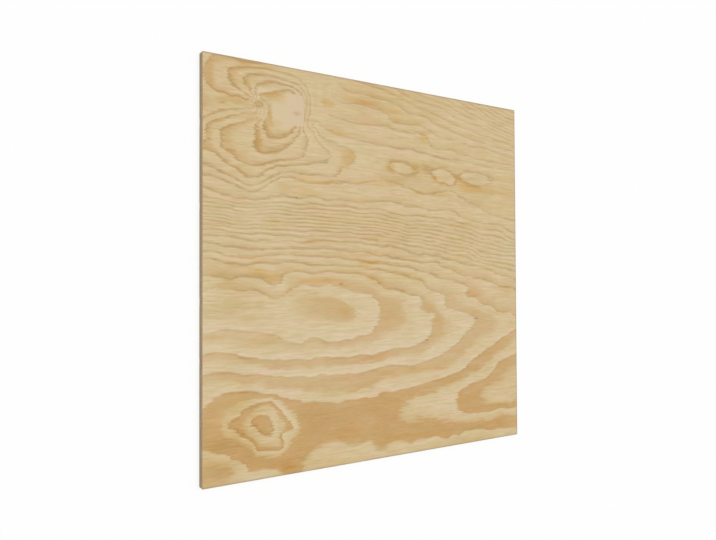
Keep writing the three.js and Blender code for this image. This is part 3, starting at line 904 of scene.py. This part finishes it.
# %% The paint class
class Paint:
    """A material under construction, or the world round the sheet."""

    def __init__(self, name, owner=None):
        self.material = owner or bpy.data.materials.new(name)
        self.material.use_nodes = True
        self.tree = self.material.node_tree
        self.tree.nodes.clear()

    def node(self, kind, settings=None, sockets=None, output=0):
        """Adds a node, applies its settings, fills or links its sockets, and returns one output."""
        made = self.tree.nodes.new(kind)
        for name, setting in (settings or {}).items():
            setattr(made, name, setting)
        for name, value in (sockets or {}).items():
            if isinstance(value, Value):
                self.tree.links.new(value.socket, made.inputs[name])
            elif made.inputs[name].type == "VECTOR" and not isinstance(value, tuple):
                made.inputs[name].default_value = (value, value, value)
            else:
                made.inputs[name].default_value = value
        return Value(self, made.outputs[output]) if made.outputs else None

    def sum(self, operation, *terms):
        """One Math node, or a Vector Math node where a term is a vector or a colour."""
        wide = [isinstance(t, tuple) or (isinstance(t, Value) and t.socket.type != "VALUE") for t in terms]
        kind = "ShaderNodeVectorMath" if any(wide) else "ShaderNodeMath"
        return self.node(kind, {"operation": operation}, dict(enumerate(terms)))

    def fade(self, value, start, end):
        """Rises smoothly from 0 at start to 1 at end, or falls where end is the smaller."""
        if start > end:
            return 1 - self.fade(value, end, start)
        limits = {"Value": value, "From Min": start, "From Max": end}
        return self.node("ShaderNodeMapRange", {"interpolation_type": "SMOOTHSTEP"}, limits)

    def band(self, value, start, end, soft):
        """1 between start and end, and 0 outside them."""
        return self.fade(value, start - soft, start + soft) * self.fade(value, end + soft, end - soft)

    def mix(self, share, first, second):
        """Goes from the first colour to the second as share goes from 0 to 1."""
        return self.node("ShaderNodeMix", {"data_type": "RGBA"}, {0: share, 6: first, 7: second}, output=2)

    def noise(self, place, stretch, seed=0, detail=2.0):
        """Random hills about 0, mostly between -0.25 and 0.25. stretch is their size along x, y and z."""
        scaled = place * tuple(1 / size for size in stretch)
        sockets = {"Vector": scaled, "W": float(seed), "Scale": 1.0, "Detail": detail}
        return self.node("ShaderNodeTexNoise", {"noise_dimensions": "4D"}, sockets) - 0.5

    def random_of(self, whole):
        """A random number from 0 to 1 for each whole number."""
        return self.node("ShaderNodeTexWhiteNoise", {"noise_dimensions": "1D"}, {"W": whole})

    def split(self, vector):
        """The x, y and z of a vector."""
        return [self.node("ShaderNodeSeparateXYZ", {}, {0: vector}, output=axis) for axis in range(3)]

    def read(self, name):
        """The three parts of a vector that the mesh keeps under this name."""
        return self.split(self.node("ShaderNodeAttribute", {"attribute_name": name}, output="Vector"))

    def place_mm(self):
        """The place on the sheet in millimetres, from the middle of its back."""
        return self.node("ShaderNodeTexCoord", output="Object") * (1 / MM)

    def away(self, place, centre, half_size):
        """The way from a centre to a place, in the sheet's plane and measured in half sizes."""
        return (place - (*centre, 0)) * (1 / half_size[0], 1 / half_size[1], 0)

    def distance(self, place, centre, half_size):
        """How far a place lies from a centre, where 1 is on an oval of that half size."""
        away = self.away(place, centre, half_size)
        return self.node("ShaderNodeVectorMath", {"operation": "LENGTH"}, {0: away}, output="Value")

    def finish(self, colour, roughness, height_mm, specular=0.25):
        """Joins the finished values to the surface. height_mm is the relief, in millimetres."""
        normal = self.node("ShaderNodeBump", {}, {"Height": height_mm, "Distance": MM})
        sockets = {"Base Color": colour, "Roughness": roughness, "Normal": normal}
        sockets["Specular IOR Level"] = specular
        surface = self.node("ShaderNodeBsdfPrincipled", {}, sockets)
        self.node("ShaderNodeOutputMaterial", {}, {"Surface": surface})
        return self.material


print("a material can fade, mix, split, measure a distance and make noise")

# %% [markdown]
# ## The growth of one year
#
# In spring the tree lays down wide, pale cells, and towards autumn small, dark ones, and then it stops.
# So each ring fades from straw to tan, deepens to a narrow, dull line, and ends there at a sharp edge.
# The fraction of the ring number says how far the year has come. Its whole part says which year it is,
# and gives each year a strength of its own, because a dry summer leaves a weaker band.
#
# The rings are drawn on fibres, which run along the sheet. Where a ring crosses them, its edge is
# drawn out into a fringe of fine streaks. Moving the place along the grain by a streaky amount moves
# the ring number by that amount times the slope. On a steep slope the fringe is held back, or it would
# reach past its own ring.

# %% Fibres, season and year
FRINGE = 14.0  # on a slope of one ring in this many millimetres, the fringe is half as long
FRINGE_REACH = 34  # millimetres along the grain for the fringe's streaks, times their noise
HAIR_REACH = 6  # and for its finest hairs
WAVE_REACH = 2.4  # millimetres across the grain by which a line wavers, times its noise
HAIR_WAVER = 0.8  # and by which its finest hairs do


def fibres_of(paint, place):
    """Three sizes of fibre: broad strands, streaks, and short, thin hairs."""
    strands = paint.noise(place, (30, 3.4, 3.4), seed=9)
    streaks = paint.noise(place, (26, 1.6, 1.6), seed=1)
    hairs = paint.noise(place, (11, 0.6, 0.6), seed=2)
    return strands, streaks, hairs


def season_and_year(paint, place, hairs):
    """The part of the year that has passed, the year, and how steep the map is, in rings a millimetre."""
    ring, slope_right, slope_down = paint.read("growth")
    fringe = paint.noise(place, (28, 3.0, 3.0), seed=15, detail=3.0)
    waves = paint.noise(place, (26, 8, 8), seed=3)
    moved_right = fringe * FRINGE_REACH + hairs * HAIR_REACH
    moved_down = waves * WAVE_REACH + hairs * HAIR_WAVER
    gentle = slope_right / (1 + paint.sum("ABSOLUTE", slope_right) * FRINGE)
    ring = ring + gentle * moved_right + slope_down * moved_down
    steepness = paint.sum("SQRT", slope_right * slope_right + slope_down * slope_down)
    return paint.sum("FRACT", ring), paint.sum("FLOOR", ring), steepness


print(f"a fringe is half as long where a ring is {FRINGE:.0f} mm wide")

# %% [markdown]
# ## Summer wood, the autumn line and dry spells
#
# Summer's tan comes in fibre by fibre, and early in a strong year. The autumn line is as narrow in a
# wide ring as in a close one. So it is drawn by its distance from the edge in millimetres, which is the
# rest of the year divided by the slope of the map. Some years also have a dry spell, when the tree
# stops for a while and leaves a faint line in the middle of summer.

# %% Shares of a year
SUMMER_START = 0.64  # the part of the year that has passed when a weak summer comes
SUMMER_SOONER = 0.36  # how much sooner a strong one comes
SUMMER_RISE = 0.26  # how long it takes to come in
AUTUMN_MM = 4.4  # width of the autumn line, but never more than AUTUMN_SHARE of the ring
AUTUMN_SHARE = 0.5
AFTER_MM = 2.0  # how far its dark bleeds past the end of the year, but never more than AFTER_SHARE
AFTER_SHARE = 0.18
RUN_UP_MM = 11.0  # how far before the line the wood begins to darken, but never more than RUN_UP_SHARE
RUN_UP_SHARE = 0.8
GENTLE_SLOPE = 0.015  # in rings a millimetre; on a gentler one the line grows no wider


def summer_share(paint, season, ragged, strength):
    """How far summer's tan has come. It comes in fibre by fibre, and sooner where summer is strong."""
    starts = SUMMER_START - strength * SUMMER_SOONER
    year_ends = paint.fade(season, 1.0, 0.96)
    return paint.fade((season + ragged - starts) / SUMMER_RISE, 0, 1) * year_ends


def autumn_share(paint, season, steepness, ragged, thickness):
    """1 in the narrow line that ends the year, which is soft on both sides and uneven in thickness."""
    steep = paint.sum("MAXIMUM", steepness, GENTLE_SLOPE) * thickness
    before = paint.sum("MINIMUM", steep * AUTUMN_MM, AUTUMN_SHARE)
    after = paint.sum("MINIMUM", steep * AFTER_MM, AFTER_SHARE)
    long_before = paint.sum("MINIMUM", steep * RUN_UP_MM, RUN_UP_SHARE)
    line = paint.fade((1 - season) / before + ragged, 1, 0.15)
    run_up = paint.fade((1 - season) / long_before + ragged * 0.6, 1, 0)
    bleed = paint.fade(season / after, 1, 0)
    return line * 0.8 + bleed * 0.8 + run_up * run_up * 0.45


def dry_spell_share(paint, season, ragged, year):
    """1 in the faint line of a dry spell, which some years have in the middle of summer."""
    when = 0.50 + paint.random_of(year + 0.5) * 0.16
    return paint.band(season + ragged * 0.6 - when, -0.03, 0.03, 0.035) * paint.random_of(year + 0.25)


print(f"the autumn line is {AUTUMN_MM} mm wide, and {AFTER_MM} mm of it bleeds into the next year")

# %% [markdown]
# ## Colours of the face
#
# The wood is clear pine that was sanded lately: pale straw in spring wood, tan in summer wood, and
# brown in the autumn line. Such a colour is written as a screen names it. A stain is written as glass
# instead, which is what it leaves of the red, green and blue light that falls on the wood. Laid over
# any colour, a glass keeps the grain under it, where paint would hide it.

# %% Colours of the face
def shade(red, green, blue):
    """A colour as a screen names it, 0 to 255, turned into light."""
    light = [((c / 255 + 0.055) / 1.055) ** 2.4 for c in (red, green, blue)]
    return (*light, 1.0)


CLEAR_GLASS = (1.0, 1.0, 1.0, 1.0)


def tint(paint, colour, share, glass):
    """The colour as seen through a glass, which goes from clear to full with share."""
    return colour * paint.mix(share, CLEAR_GLASS, glass)


PALE = shade(216, 197, 164)
STRAW = shade(203, 175, 121)
TAN = shade(195, 157, 103)
BROWN = shade(166, 126, 74)
# the colour of the painted shade along the face's rim, on every side but the left
RIM_SHADE = shade(150, 128, 100)
AMBER_GLASS = (0.97, 0.865, 0.64, 1.0)
ASH_GLASS = (0.91, 0.92, 0.84, 1.0)
BLEACH_GLASS = (1.05, 1.08, 1.14, 1.0)
DULL_GLASS = (0.79, 0.75, 0.66, 1.0)  # autumn lines, which run from olive to orange
WARM_GLASS = (0.86, 0.73, 0.52, 1.0)
ROSE_GLASS = (1.02, 0.98, 1.02, 1.0)  # the wood's own colour, which drifts between rose and olive
OLIVE_GLASS = (0.97, 1.01, 0.95, 1.0)
print("straw, as light:", ", ".join(f"{part:.3f}" for part in STRAW[:3]))

# %% [markdown]
# ## The colour of the rings
#
# Spring's straw comes first, and is palest just after the ring begins. Summer's tan is laid over it,
# and the autumn line and the dry spell go over both as glass, so the fibres show through them. Each is
# as strong as the tone says at this place. It is also broken by patches and blotches of its own,
# because no band of real wood is even along its length.

# %% Colour of the rings
def ring_colour(paint, place, fibres):
    """The colour that the rings give the wood, and the shares of summer and of the autumn line."""
    strands, streaks, hairs = fibres
    season, year, steepness = season_and_year(paint, place, hairs)
    summer_strength, line_strength, pale = paint.read("tone")
    ragged = strands * 0.80 + streaks * 0.45 + hairs * 0.20
    patches = paint.noise(place, (50, 12, 12), seed=11)
    uneven = patches + paint.noise(place, (16, 5, 5), seed=14)

    vigour = 0.85 + paint.random_of(year) * 0.3
    streaky = 1 + strands * 1.4 + streaks + patches * 0.9
    summer = summer_share(paint, season, ragged, summer_strength) * summer_strength * vigour * streaky
    thickness = 0.5 + line_strength * 0.7 + uneven * 1.2
    autumn = autumn_share(paint, season, steepness, streaks, thickness)
    autumn = autumn * line_strength * (0.83 + uneven * 1.5)
    dry_spell = dry_spell_share(paint, season, ragged, year) * line_strength * 0.55

    clear_rings = paint.sum("MINIMUM", line_strength + summer_strength * 1.2, 1.0)
    fresh = paint.fade(season + ragged * 0.25, 0.25, 0.02) * 0.2 * clear_rings
    colour = paint.mix(pale - 0.09 + fresh + strands + streaks * 0.7, STRAW, PALE)
    colour = paint.mix(summer, colour, TAN)
    warmth = summer_strength * 0.95 + paint.noise(place, (80, 20, 20), seed=13) * 2.6
    line_glass = paint.mix(warmth, DULL_GLASS, WARM_GLASS)
    return tint(paint, colour, autumn + dry_spell, line_glass), summer, autumn


def stained(paint, colour, place):
    """The colour under faint resin that turns up anywhere, and under the stains, broken by the grain."""
    resin = paint.fade(paint.noise(place, (75, 9, 9), seed=12), 0.06, 0.26) * 0.45
    colour = tint(paint, colour, resin, AMBER_GLASS)
    patchy = 0.75 + paint.noise(place, (50, 5, 5), seed=4) * 2.2
    for glass, share in zip((AMBER_GLASS, ASH_GLASS, BLEACH_GLASS), paint.read("stain")):
        colour = tint(paint, colour, share * patchy, glass)
    hue = 0.5 + paint.noise(place, (60, 9, 9), seed=8) * 2.4
    return colour * paint.mix(hue, ROSE_GLASS, OLIVE_GLASS)


print("bands are laid in the order spring, summer, autumn line, resin, stains")

# %% [markdown]
# ## The filled hole
#
# A branch once grew by the upper left corner. Its knot fell out of the veneer, so the mill cut the hole
# to a neat shape and filled it flush with pale wood paste, and the rings still swirl round it. The paste
# is small and crisp, so the material draws it by the distance from a centre. Two blocks make its shape,
# and the paste shows wherever either does. All places are in millimetres right and down.

# %% Filled hole
FILLING = [  # (centre, half size, how frayed its outline is) of two rounded blocks
    ((124, 73), (16.5, 14.5), 1.0),
    ((145, 64), (15, 24), 0.15),
]
PASTE_SEAM = (134, 130)  # the left part of the paste was laid first, and it fades in between these
SMUDGE = ((148, 68.5), (8, 4))  # a dirty smear on the filling
SOAKED = ((116, 88), (12, 6))  # where resin has soaked into it
PASTE = shade(212, 190, 157)
OLD_PASTE = shade(212, 193, 155)
SOAKED_PASTE = shade(209, 176, 124)


def filling_block(paint, spot, ragged, centre, half_size, frayed):
    """1 on one block of paste, which is nearly square: a high power makes its corners tight."""
    right, down, _ = paint.split(paint.away(spot, centre, half_size))
    reach = paint.sum("POWER", right * right, 4.0) + paint.sum("POWER", down * down, 4.0)
    return paint.fade(reach + ragged * (frayed * 5), 1.2 + frayed * 0.5, 0.8 - frayed * 0.5)


def paste_colour(paint, spot, streaks, hairs):
    """The colour of the paste, with its older part, its soaked corner and its smear."""
    older = paint.fade(paint.split(spot)[0], *PASTE_SEAM)
    soaked = paint.fade(paint.distance(spot, *SOAKED) + streaks, 1.3, 0.2)
    smudge = paint.fade(paint.distance(spot, *SMUDGE) + hairs, 1.3, 0.2)
    paste = paint.mix(older, PASTE, OLD_PASTE)
    paste = paint.mix(soaked * 0.7, paste, SOAKED_PASTE)
    return paint.mix(smudge * 0.3, paste, BROWN)


print(f"the hole is filled by {len(FILLING)} blocks of paste")

# %% [markdown]
# ## Pins, pitch and the pin knot
#
# A pin knot beside the hole is the stub of a twig: an amber spot with a darker ring. Dark pins
# elsewhere are buds that never grew. Streaks of pitch are amber and run with the grain. Each is an oval,
# by its distance from a centre. The grain frays the outlines of the pitch and of the knot, and the pins
# are too small for that.

# %% Pins, pitch and the pin knot
PIN_KNOT = ((86, 62.5), (6, 4.4))
PINS = [((147, 196), (3, 1.3)), ((225, 327), (4, 1.6)), ((396, 423), (4, 1.5)), ((508, 390), (7, 1.4))]
PITCH = [  # (centre, half size, strength)
    ((280, 292), (23, 3.2), 0.85), ((109, 234), (12, 2.5), 0.25), ((49, 259), (9, 2.5), 0.40),
    ((99, 253), (10, 2.5), 0.35), ((234, 258), (11, 2.2), 0.30), ((226, 326), (7, 3.5), 0.35),
    ((356, 250), (14, 2.2), 0.25),
]
PITCH_BROWN = shade(184, 146, 62)
PIN_BROWN = shade(120, 86, 50)


def marked(paint, colour, spot, streaks, hairs):
    """The colour with its pins, its streaks of pitch and its pin knot."""
    pins = sum(paint.fade(paint.distance(spot, *pin), 1.2, 0.5) for pin in PINS)
    colour = paint.mix(pins * 0.45, colour, PIN_BROWN)
    for centre, half_size, strength in PITCH:
        pitch = paint.fade(paint.distance(spot, centre, half_size) + streaks * 1.5, 1.2, 0.1)
        colour = paint.mix(pitch * strength, colour, PITCH_BROWN)
    knot = paint.distance(spot, *PIN_KNOT) + (hairs + streaks) * 1.2
    colour = paint.mix(paint.fade(knot, 1.5, 0.5) * 0.45, colour, PITCH_BROWN)
    return paint.mix(paint.band(knot, 0.7, 1.0, 0.3) * 0.3, colour, PIN_BROWN)


print(f"marks: {len(PINS)} pins, {len(PITCH)} streaks of pitch and a pin knot")

# %% [markdown]
# ## The face veneer
#
# Over the rings lie the stains, the hairs and the resin canals, which show as thin brown dashes, and
# then the marks. Autumn wood is hard and takes the sander's polish, so it is a little smoother than the
# rest and stands a few hundredths of a millimetre proud. The sander's own scratches run with the grain.

# %% Face veneer
def painted_rim_shade(paint, spot):
    """1 along every side but the left one, where a darker rim is painted as the shade of the arris."""
    right, down, _ = paint.split(spot * (-1, -1, 0) + (length_mm, width_mm, 0))
    nearest = paint.sum("MINIMUM", right, paint.sum("MINIMUM", down, width_mm - down))
    return paint.fade(nearest, 3.4, 1.0)


def face_material():
    paint = Paint("face_veneer")
    place = paint.place_mm()
    spot = place * (1, -1, 0) + (length_mm / 2, width_mm / 2, 0)  # millimetres right and down
    fibres = fibres_of(paint, place)
    strands, streaks, hairs = fibres
    colour, summer, autumn = ring_colour(paint, place, fibres)
    colour = stained(paint, colour, place)

    canals = paint.fade(paint.noise(place, (9, 0.4, 0.4), seed=6), 0.17, 0.25)
    colour = paint.mix(canals * 0.25, colour, BROWN)
    grain = strands * 0.16 + (streaks + hairs) * 0.30
    colour = colour * (1 + grain * (0.8 + summer * 0.5))
    # painted shade: the face is darkened along its rim, on every side but the left
    colour = paint.mix(painted_rim_shade(paint, spot) * 0.5, colour, RIM_SHADE)

    ragged = streaks + hairs * 0.5
    filling = paint.sum("MAXIMUM", *[filling_block(paint, spot, ragged, *block) for block in FILLING])
    colour = paint.mix(filling * 0.93, colour, paste_colour(paint, spot, streaks, hairs))
    colour = marked(paint, colour, spot, streaks, hairs)

    wood = 1 - filling
    scratches = paint.noise(place, (70, 0.22, 0.22), seed=7)
    roughness = 0.68 - wood * (autumn * 0.08) + hairs * 0.1
    height_mm = wood * (autumn * 0.025 + hairs * 0.04 - canals * 0.02) + scratches * 0.02
    return paint.finish(colour, roughness, height_mm)


mesh.materials.append(face_material())
print("the face material has", len(mesh.materials[FACE].node_tree.nodes), "nodes")

# %% [markdown]
# ## The sawn edge
#
# Five veneers show as stripes. Where a veneer's fibres end at the edge, it is darker and rough, because
# the light goes down the open cells. Where they run along the edge it is paler, with long streaks. The
# saw's strokes cross all five. The growth rings of a peeled veneer lie almost flat in it, so they show
# as a few slanting lines. Between the plies is the glue, a thin, dark line of cured resin.

# %% Sawn edge
ALONG_FIBRES = shade(200, 179, 144)
FIBRE_ENDS = shade(169, 149, 120)
EDGE_RING = shade(150, 124, 90)
GLUE_BROWN = shade(104, 76, 50)
RING_STEP = 2.1  # millimetres from ring to ring, through the thickness
GLUE_HALF = 0.07  # half the height of a glue line, in millimetres


def crossband_share(paint, height):
    """1 in the second and fourth veneers, whose grain runs across the sheet."""
    lower = paint.band(height, glue_heights[0], glue_heights[1], 0.04)
    upper = paint.band(height, glue_heights[2], glue_heights[3], 0.04)
    return lower + upper


def edge_material():
    paint = Paint("sawn_edge")
    place = paint.place_mm()
    _, _, height = paint.split(place)
    out_right, out_up, _ = paint.read("outward")
    crossband = crossband_share(paint, height)
    facing_x = paint.sum("ABSOLUTE", out_right)
    facing_y = paint.sum("ABSOLUTE", out_up)
    ends = facing_x * (1 - crossband) + facing_y * crossband

    streaks = paint.noise(place, (26, 26, 0.4), seed=11)
    cells = paint.noise(place, (0.6, 0.6, 0.8), seed=12)
    strokes = paint.noise(place, (0.9, 0.9, 16), seed=13)
    drift = paint.noise(place, (70, 70, 3), seed=14)

    rings = height / RING_STEP + paint.noise(place, (110, 110, 9), seed=15) * 9 + crossband * 0.4
    season = paint.sum("FRACT", rings)
    late = paint.fade(season, 0.35, 0.85) * paint.fade(season, 1.0, 0.92)

    colour = paint.mix(ends, ALONG_FIBRES, FIBRE_ENDS)
    colour = paint.mix(late * 0.5, colour, EDGE_RING)
    colour = colour * (1 + (1 - ends) * streaks * 0.35 + ends * cells * 0.5 + strokes * 0.22 + drift * 0.3)
    wavy = height + drift * 0.12
    glue = sum(paint.band(wavy, line - GLUE_HALF, line + GLUE_HALF, 0.05) for line in glue_heights)
    colour = paint.mix(glue * 0.75, colour, GLUE_BROWN)

    roughness = 0.82 + ends * 0.08 + cells * 0.1
    height_mm = (1 - ends) * streaks * 0.08 + ends * cells * 0.14 + strokes * 0.10 - glue * 0.03
    return paint.finish(colour, roughness, height_mm, specular=0.2)


mesh.materials.append(edge_material())
print("the edge material has", len(mesh.materials[EDGE].node_tree.nodes), "nodes")

# %% [markdown]
# ## The back veneer
#
# The back is a poorer veneer than the face, as on any sheet that is sold by its good side. It is peeled
# from the same kind of log, so it has the same wide ovals, but knots are left in it. Rings part and
# close again round a knot like water round a post, so each knot lifts the map into a steep hill.
# Where a knot was too loose to stay, a boat-shaped patch was let in, with its own straighter grain.

# %% Map of the back
BACK_KNOTS = [((-170, 120), (11, 8)), ((95, -60), (14, 10)), ((215, 190), (7, 5)), ((-60, -215), (9, 6))]
BOAT = ((60, 150), (52, 15))  # (centre, half size) of the patch
BOAT_RING = 6.5  # millimetres from ring to ring in the patch


def back_rings(paint, place, boat):
    """The back's map: wide hills, a steep one at each knot, and straight grain in the boat patch."""
    rings = paint.noise(place, (430, 100, 100), seed=21, detail=1.0) * 34
    knots = 0
    for knot in BACK_KNOTS:
        away = paint.distance(place, *knot)
        rings = rings + 7 / (1 + away * away * 0.35)
        knots = knots + paint.fade(away, 1.15, 0.95)
    _, across, _ = paint.split(place)
    return rings * (1 - boat) + boat * (across / BOAT_RING), knots


def boat_distance(paint, place):
    """Below 0 inside the boat patch, which is pointed at both ends, and 0 on its outline."""
    along, across, _ = paint.split(paint.away(place, *BOAT))
    return along * along + paint.sum("ABSOLUTE", across) - 1


print(f"the back has {len(BACK_KNOTS)} knots and a patch {2 * BOAT[1][0]} mm long")

# %% [markdown]
# ## The back's colours
#
# The back's rings are shaded as on the face, by the same summer band and a plain autumn line. A knot is
# brown, and dead bark leaves a nearly black rim round it. The patch shows by a fine, dark joint.

# %% Back veneer
BACK_PALE = shade(209, 184, 143)
BACK_TAN = shade(184, 146, 96)
KNOT_BROWN = shade(132, 92, 56)
KNOT_RIM = shade(84, 56, 36)


def back_material():
    paint = Paint("back_veneer")
    place = paint.place_mm() * (1, 1, 0)
    strands, streaks, hairs = fibres_of(paint, place)
    boat_edge = boat_distance(paint, place)
    rings, knots = back_rings(paint, place, paint.fade(boat_edge, 0.01, -0.01))
    rings = rings + streaks * 0.4 + hairs * 0.2
    season = paint.sum("FRACT", rings)
    strength = 0.5 + paint.random_of(paint.sum("FLOOR", rings)) * 0.4
    ragged = streaks * 0.5 + hairs * 0.3
    summer = summer_share(paint, season, ragged, strength) * strength
    autumn = paint.band(season, 0.88, 0.97, 0.03)
    colour = paint.mix(summer, BACK_PALE, BACK_TAN)
    colour = paint.mix(autumn * 0.4, colour, BROWN)
    blotches = paint.noise(place, (120, 30, 30), seed=22)
    colour = colour * (1 + (streaks + hairs) * 0.1 + blotches * 0.2)

    colour = paint.mix(knots * 0.75, colour, KNOT_BROWN)
    frayed = [paint.distance(place, *knot) + hairs * 0.2 for knot in BACK_KNOTS]
    rim = sum(paint.band(away, 0.98, 1.12, 0.05) for away in frayed)
    colour = paint.mix(rim * 0.7, colour, KNOT_RIM)
    joint = paint.band(boat_edge, -0.02, 0.02, 0.01)
    colour = paint.mix(joint * 0.6, colour, KNOT_RIM)
    roughness = 0.76 - autumn * 0.08 + hairs * 0.1
    height_mm = autumn * 0.03 + hairs * 0.07 - joint * 0.05 - rim * 0.05
    return paint.finish(colour, roughness, height_mm, specular=0.2)


mesh.materials.append(back_material())
print("the back material has", len(mesh.materials[BACK].node_tree.nodes), "nodes")

# %% [markdown]
# ## On the frame
#
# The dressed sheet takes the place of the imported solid, and rides on the same body. It is one piece, as
# the real sheet is, since its veneers can't come apart.

# %% Put the sheet on its frame
sheet = bpy.data.objects.new("veneered_sheet", mesh)
bpy.context.scene.collection.objects.link(sheet)
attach(sheet, "root")
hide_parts("plywood_sheet")
print(f"{sheet.name} wears", ", ".join(material.name for material in mesh.materials))

# %% [markdown]
# ## The floor
#
# The sheet lies on a plain, pale studio floor. To the camera the floor is partly paint that glows
# white, so that it reads as white paper and still shows the sheet's shadow. To every other ray it is
# plain white paint, and it throws no more light on the sheet than paint would.

# %% Floor
FLOOR_GLOW = 0.8  # the share of glowing paint, to the camera
FLOOR_SIZE = 12  # metres
WHITE = (1.0, 1.0, 1.0, 1.0)
FLOOR_WHITE = (0.97, 0.97, 0.97, 1.0)


def looked_at(paint):
    """1 for what the camera sees, straight on, in a mirror or through glass, and 0 for other rays."""
    rays = ("Is Camera Ray", "Is Glossy Ray", "Is Transmission Ray")
    return sum(paint.node("ShaderNodeLightPath", output=ray) for ray in rays)


def floor_material():
    paint = Paint("studio_floor")
    flat_paint = paint.node("ShaderNodeBsdfDiffuse", {}, {"Color": FLOOR_WHITE})
    glow = paint.node("ShaderNodeEmission", {}, {"Color": WHITE, "Strength": 1.0})
    both = paint.node("ShaderNodeMixShader", {}, {0: looked_at(paint) * FLOOR_GLOW, 1: flat_paint, 2: glow})
    paint.node("ShaderNodeOutputMaterial", {}, {"Surface": both})
    return paint.material


bpy.ops.mesh.primitive_plane_add(size=FLOOR_SIZE)
floor = bpy.context.object
floor.name = "studio_floor"
floor.data.materials.append(floor_material())
print(f"the floor is {FLOOR_SIZE} m square, and {FLOOR_SIZE / (length_mm * MM):.0f} sheets wide")

# %% [markdown]
# ## The light
#
# The light is even: half of it comes from the whole sky, and half from one wide, soft disc nearly
# overhead. Together they bring one unit of light to a level surface, so a colour shows as it is written.

# %% Light
SKY = 0.5  # light from the whole sky, where 1 would light a level surface fully by itself
LAMP_TILT = 8  # degrees from overhead, towards +X
LAMP_LEAN = -6  # degrees from overhead, about the X axis
LAMP_WIDTH = 50  # degrees that the disc spans, as seen from the sheet
world = bpy.data.worlds.new("studio")
bpy.context.scene.world = world
sky = Paint("studio", world)
skylight = sky.node("ShaderNodeBackground", {}, {"Color": WHITE, "Strength": SKY})
white = sky.node("ShaderNodeBackground", {}, {"Color": WHITE, "Strength": 1.0})
where_seen = sky.node("ShaderNodeMixShader", {}, {0: looked_at(sky), 1: skylight, 2: white})
sky.node("ShaderNodeOutputWorld", {}, {"Surface": where_seen})
lamp_data = bpy.data.lights.new("soft_disc", "SUN")
lamp_data.angle = math.radians(LAMP_WIDTH)
lamp_data.energy = (1 - SKY) * math.pi / math.cos(math.radians(LAMP_TILT))
lamp = bpy.data.objects.new("soft_disc", lamp_data)
bpy.context.scene.collection.objects.link(lamp)
lamp.rotation_euler = (math.radians(LAMP_LEAN), math.radians(LAMP_TILT), 0)
print(f"the disc shines with {lamp_data.energy:.2f} watts on a square metre")

# %% [markdown]
# ## The camera
#
# The camera stands off to the left and looks back at the sheet from above, with a wide lens. So the
# left side comes nearer and looks longer than the right, and hardly any of the edge shows. It is
# tilted about one axis at a time, in the order Z, X, Y, which keeps each angle's meaning plain.

# %% Camera
SENSOR_MM = 36
LENS_MM = 33.53
CAMERA_PLACE = (-0.6220, -0.0213, 0.8953)  # metres from the middle of the face
CAMERA_TURNS = (1.157, -32.666, -0.243)  # degrees about X, Y and Z
camera_data = bpy.data.cameras.new("camera")
camera_data.sensor_width = SENSOR_MM
camera_data.lens = LENS_MM
camera = bpy.data.objects.new("camera", camera_data)
bpy.context.scene.collection.objects.link(camera)
camera_x, camera_y, above_face = CAMERA_PLACE
camera.location = (camera_x, camera_y, above_face + thickness_mm * MM)
camera.rotation_mode = "ZXY"
camera.rotation_euler = tuple(math.radians(turn) for turn in CAMERA_TURNS)
bpy.context.scene.camera = camera
bpy.context.scene.view_settings.view_transform = "Standard"
print(f"the camera is {camera.location.length:.2f} m from the middle of the sheet's back")
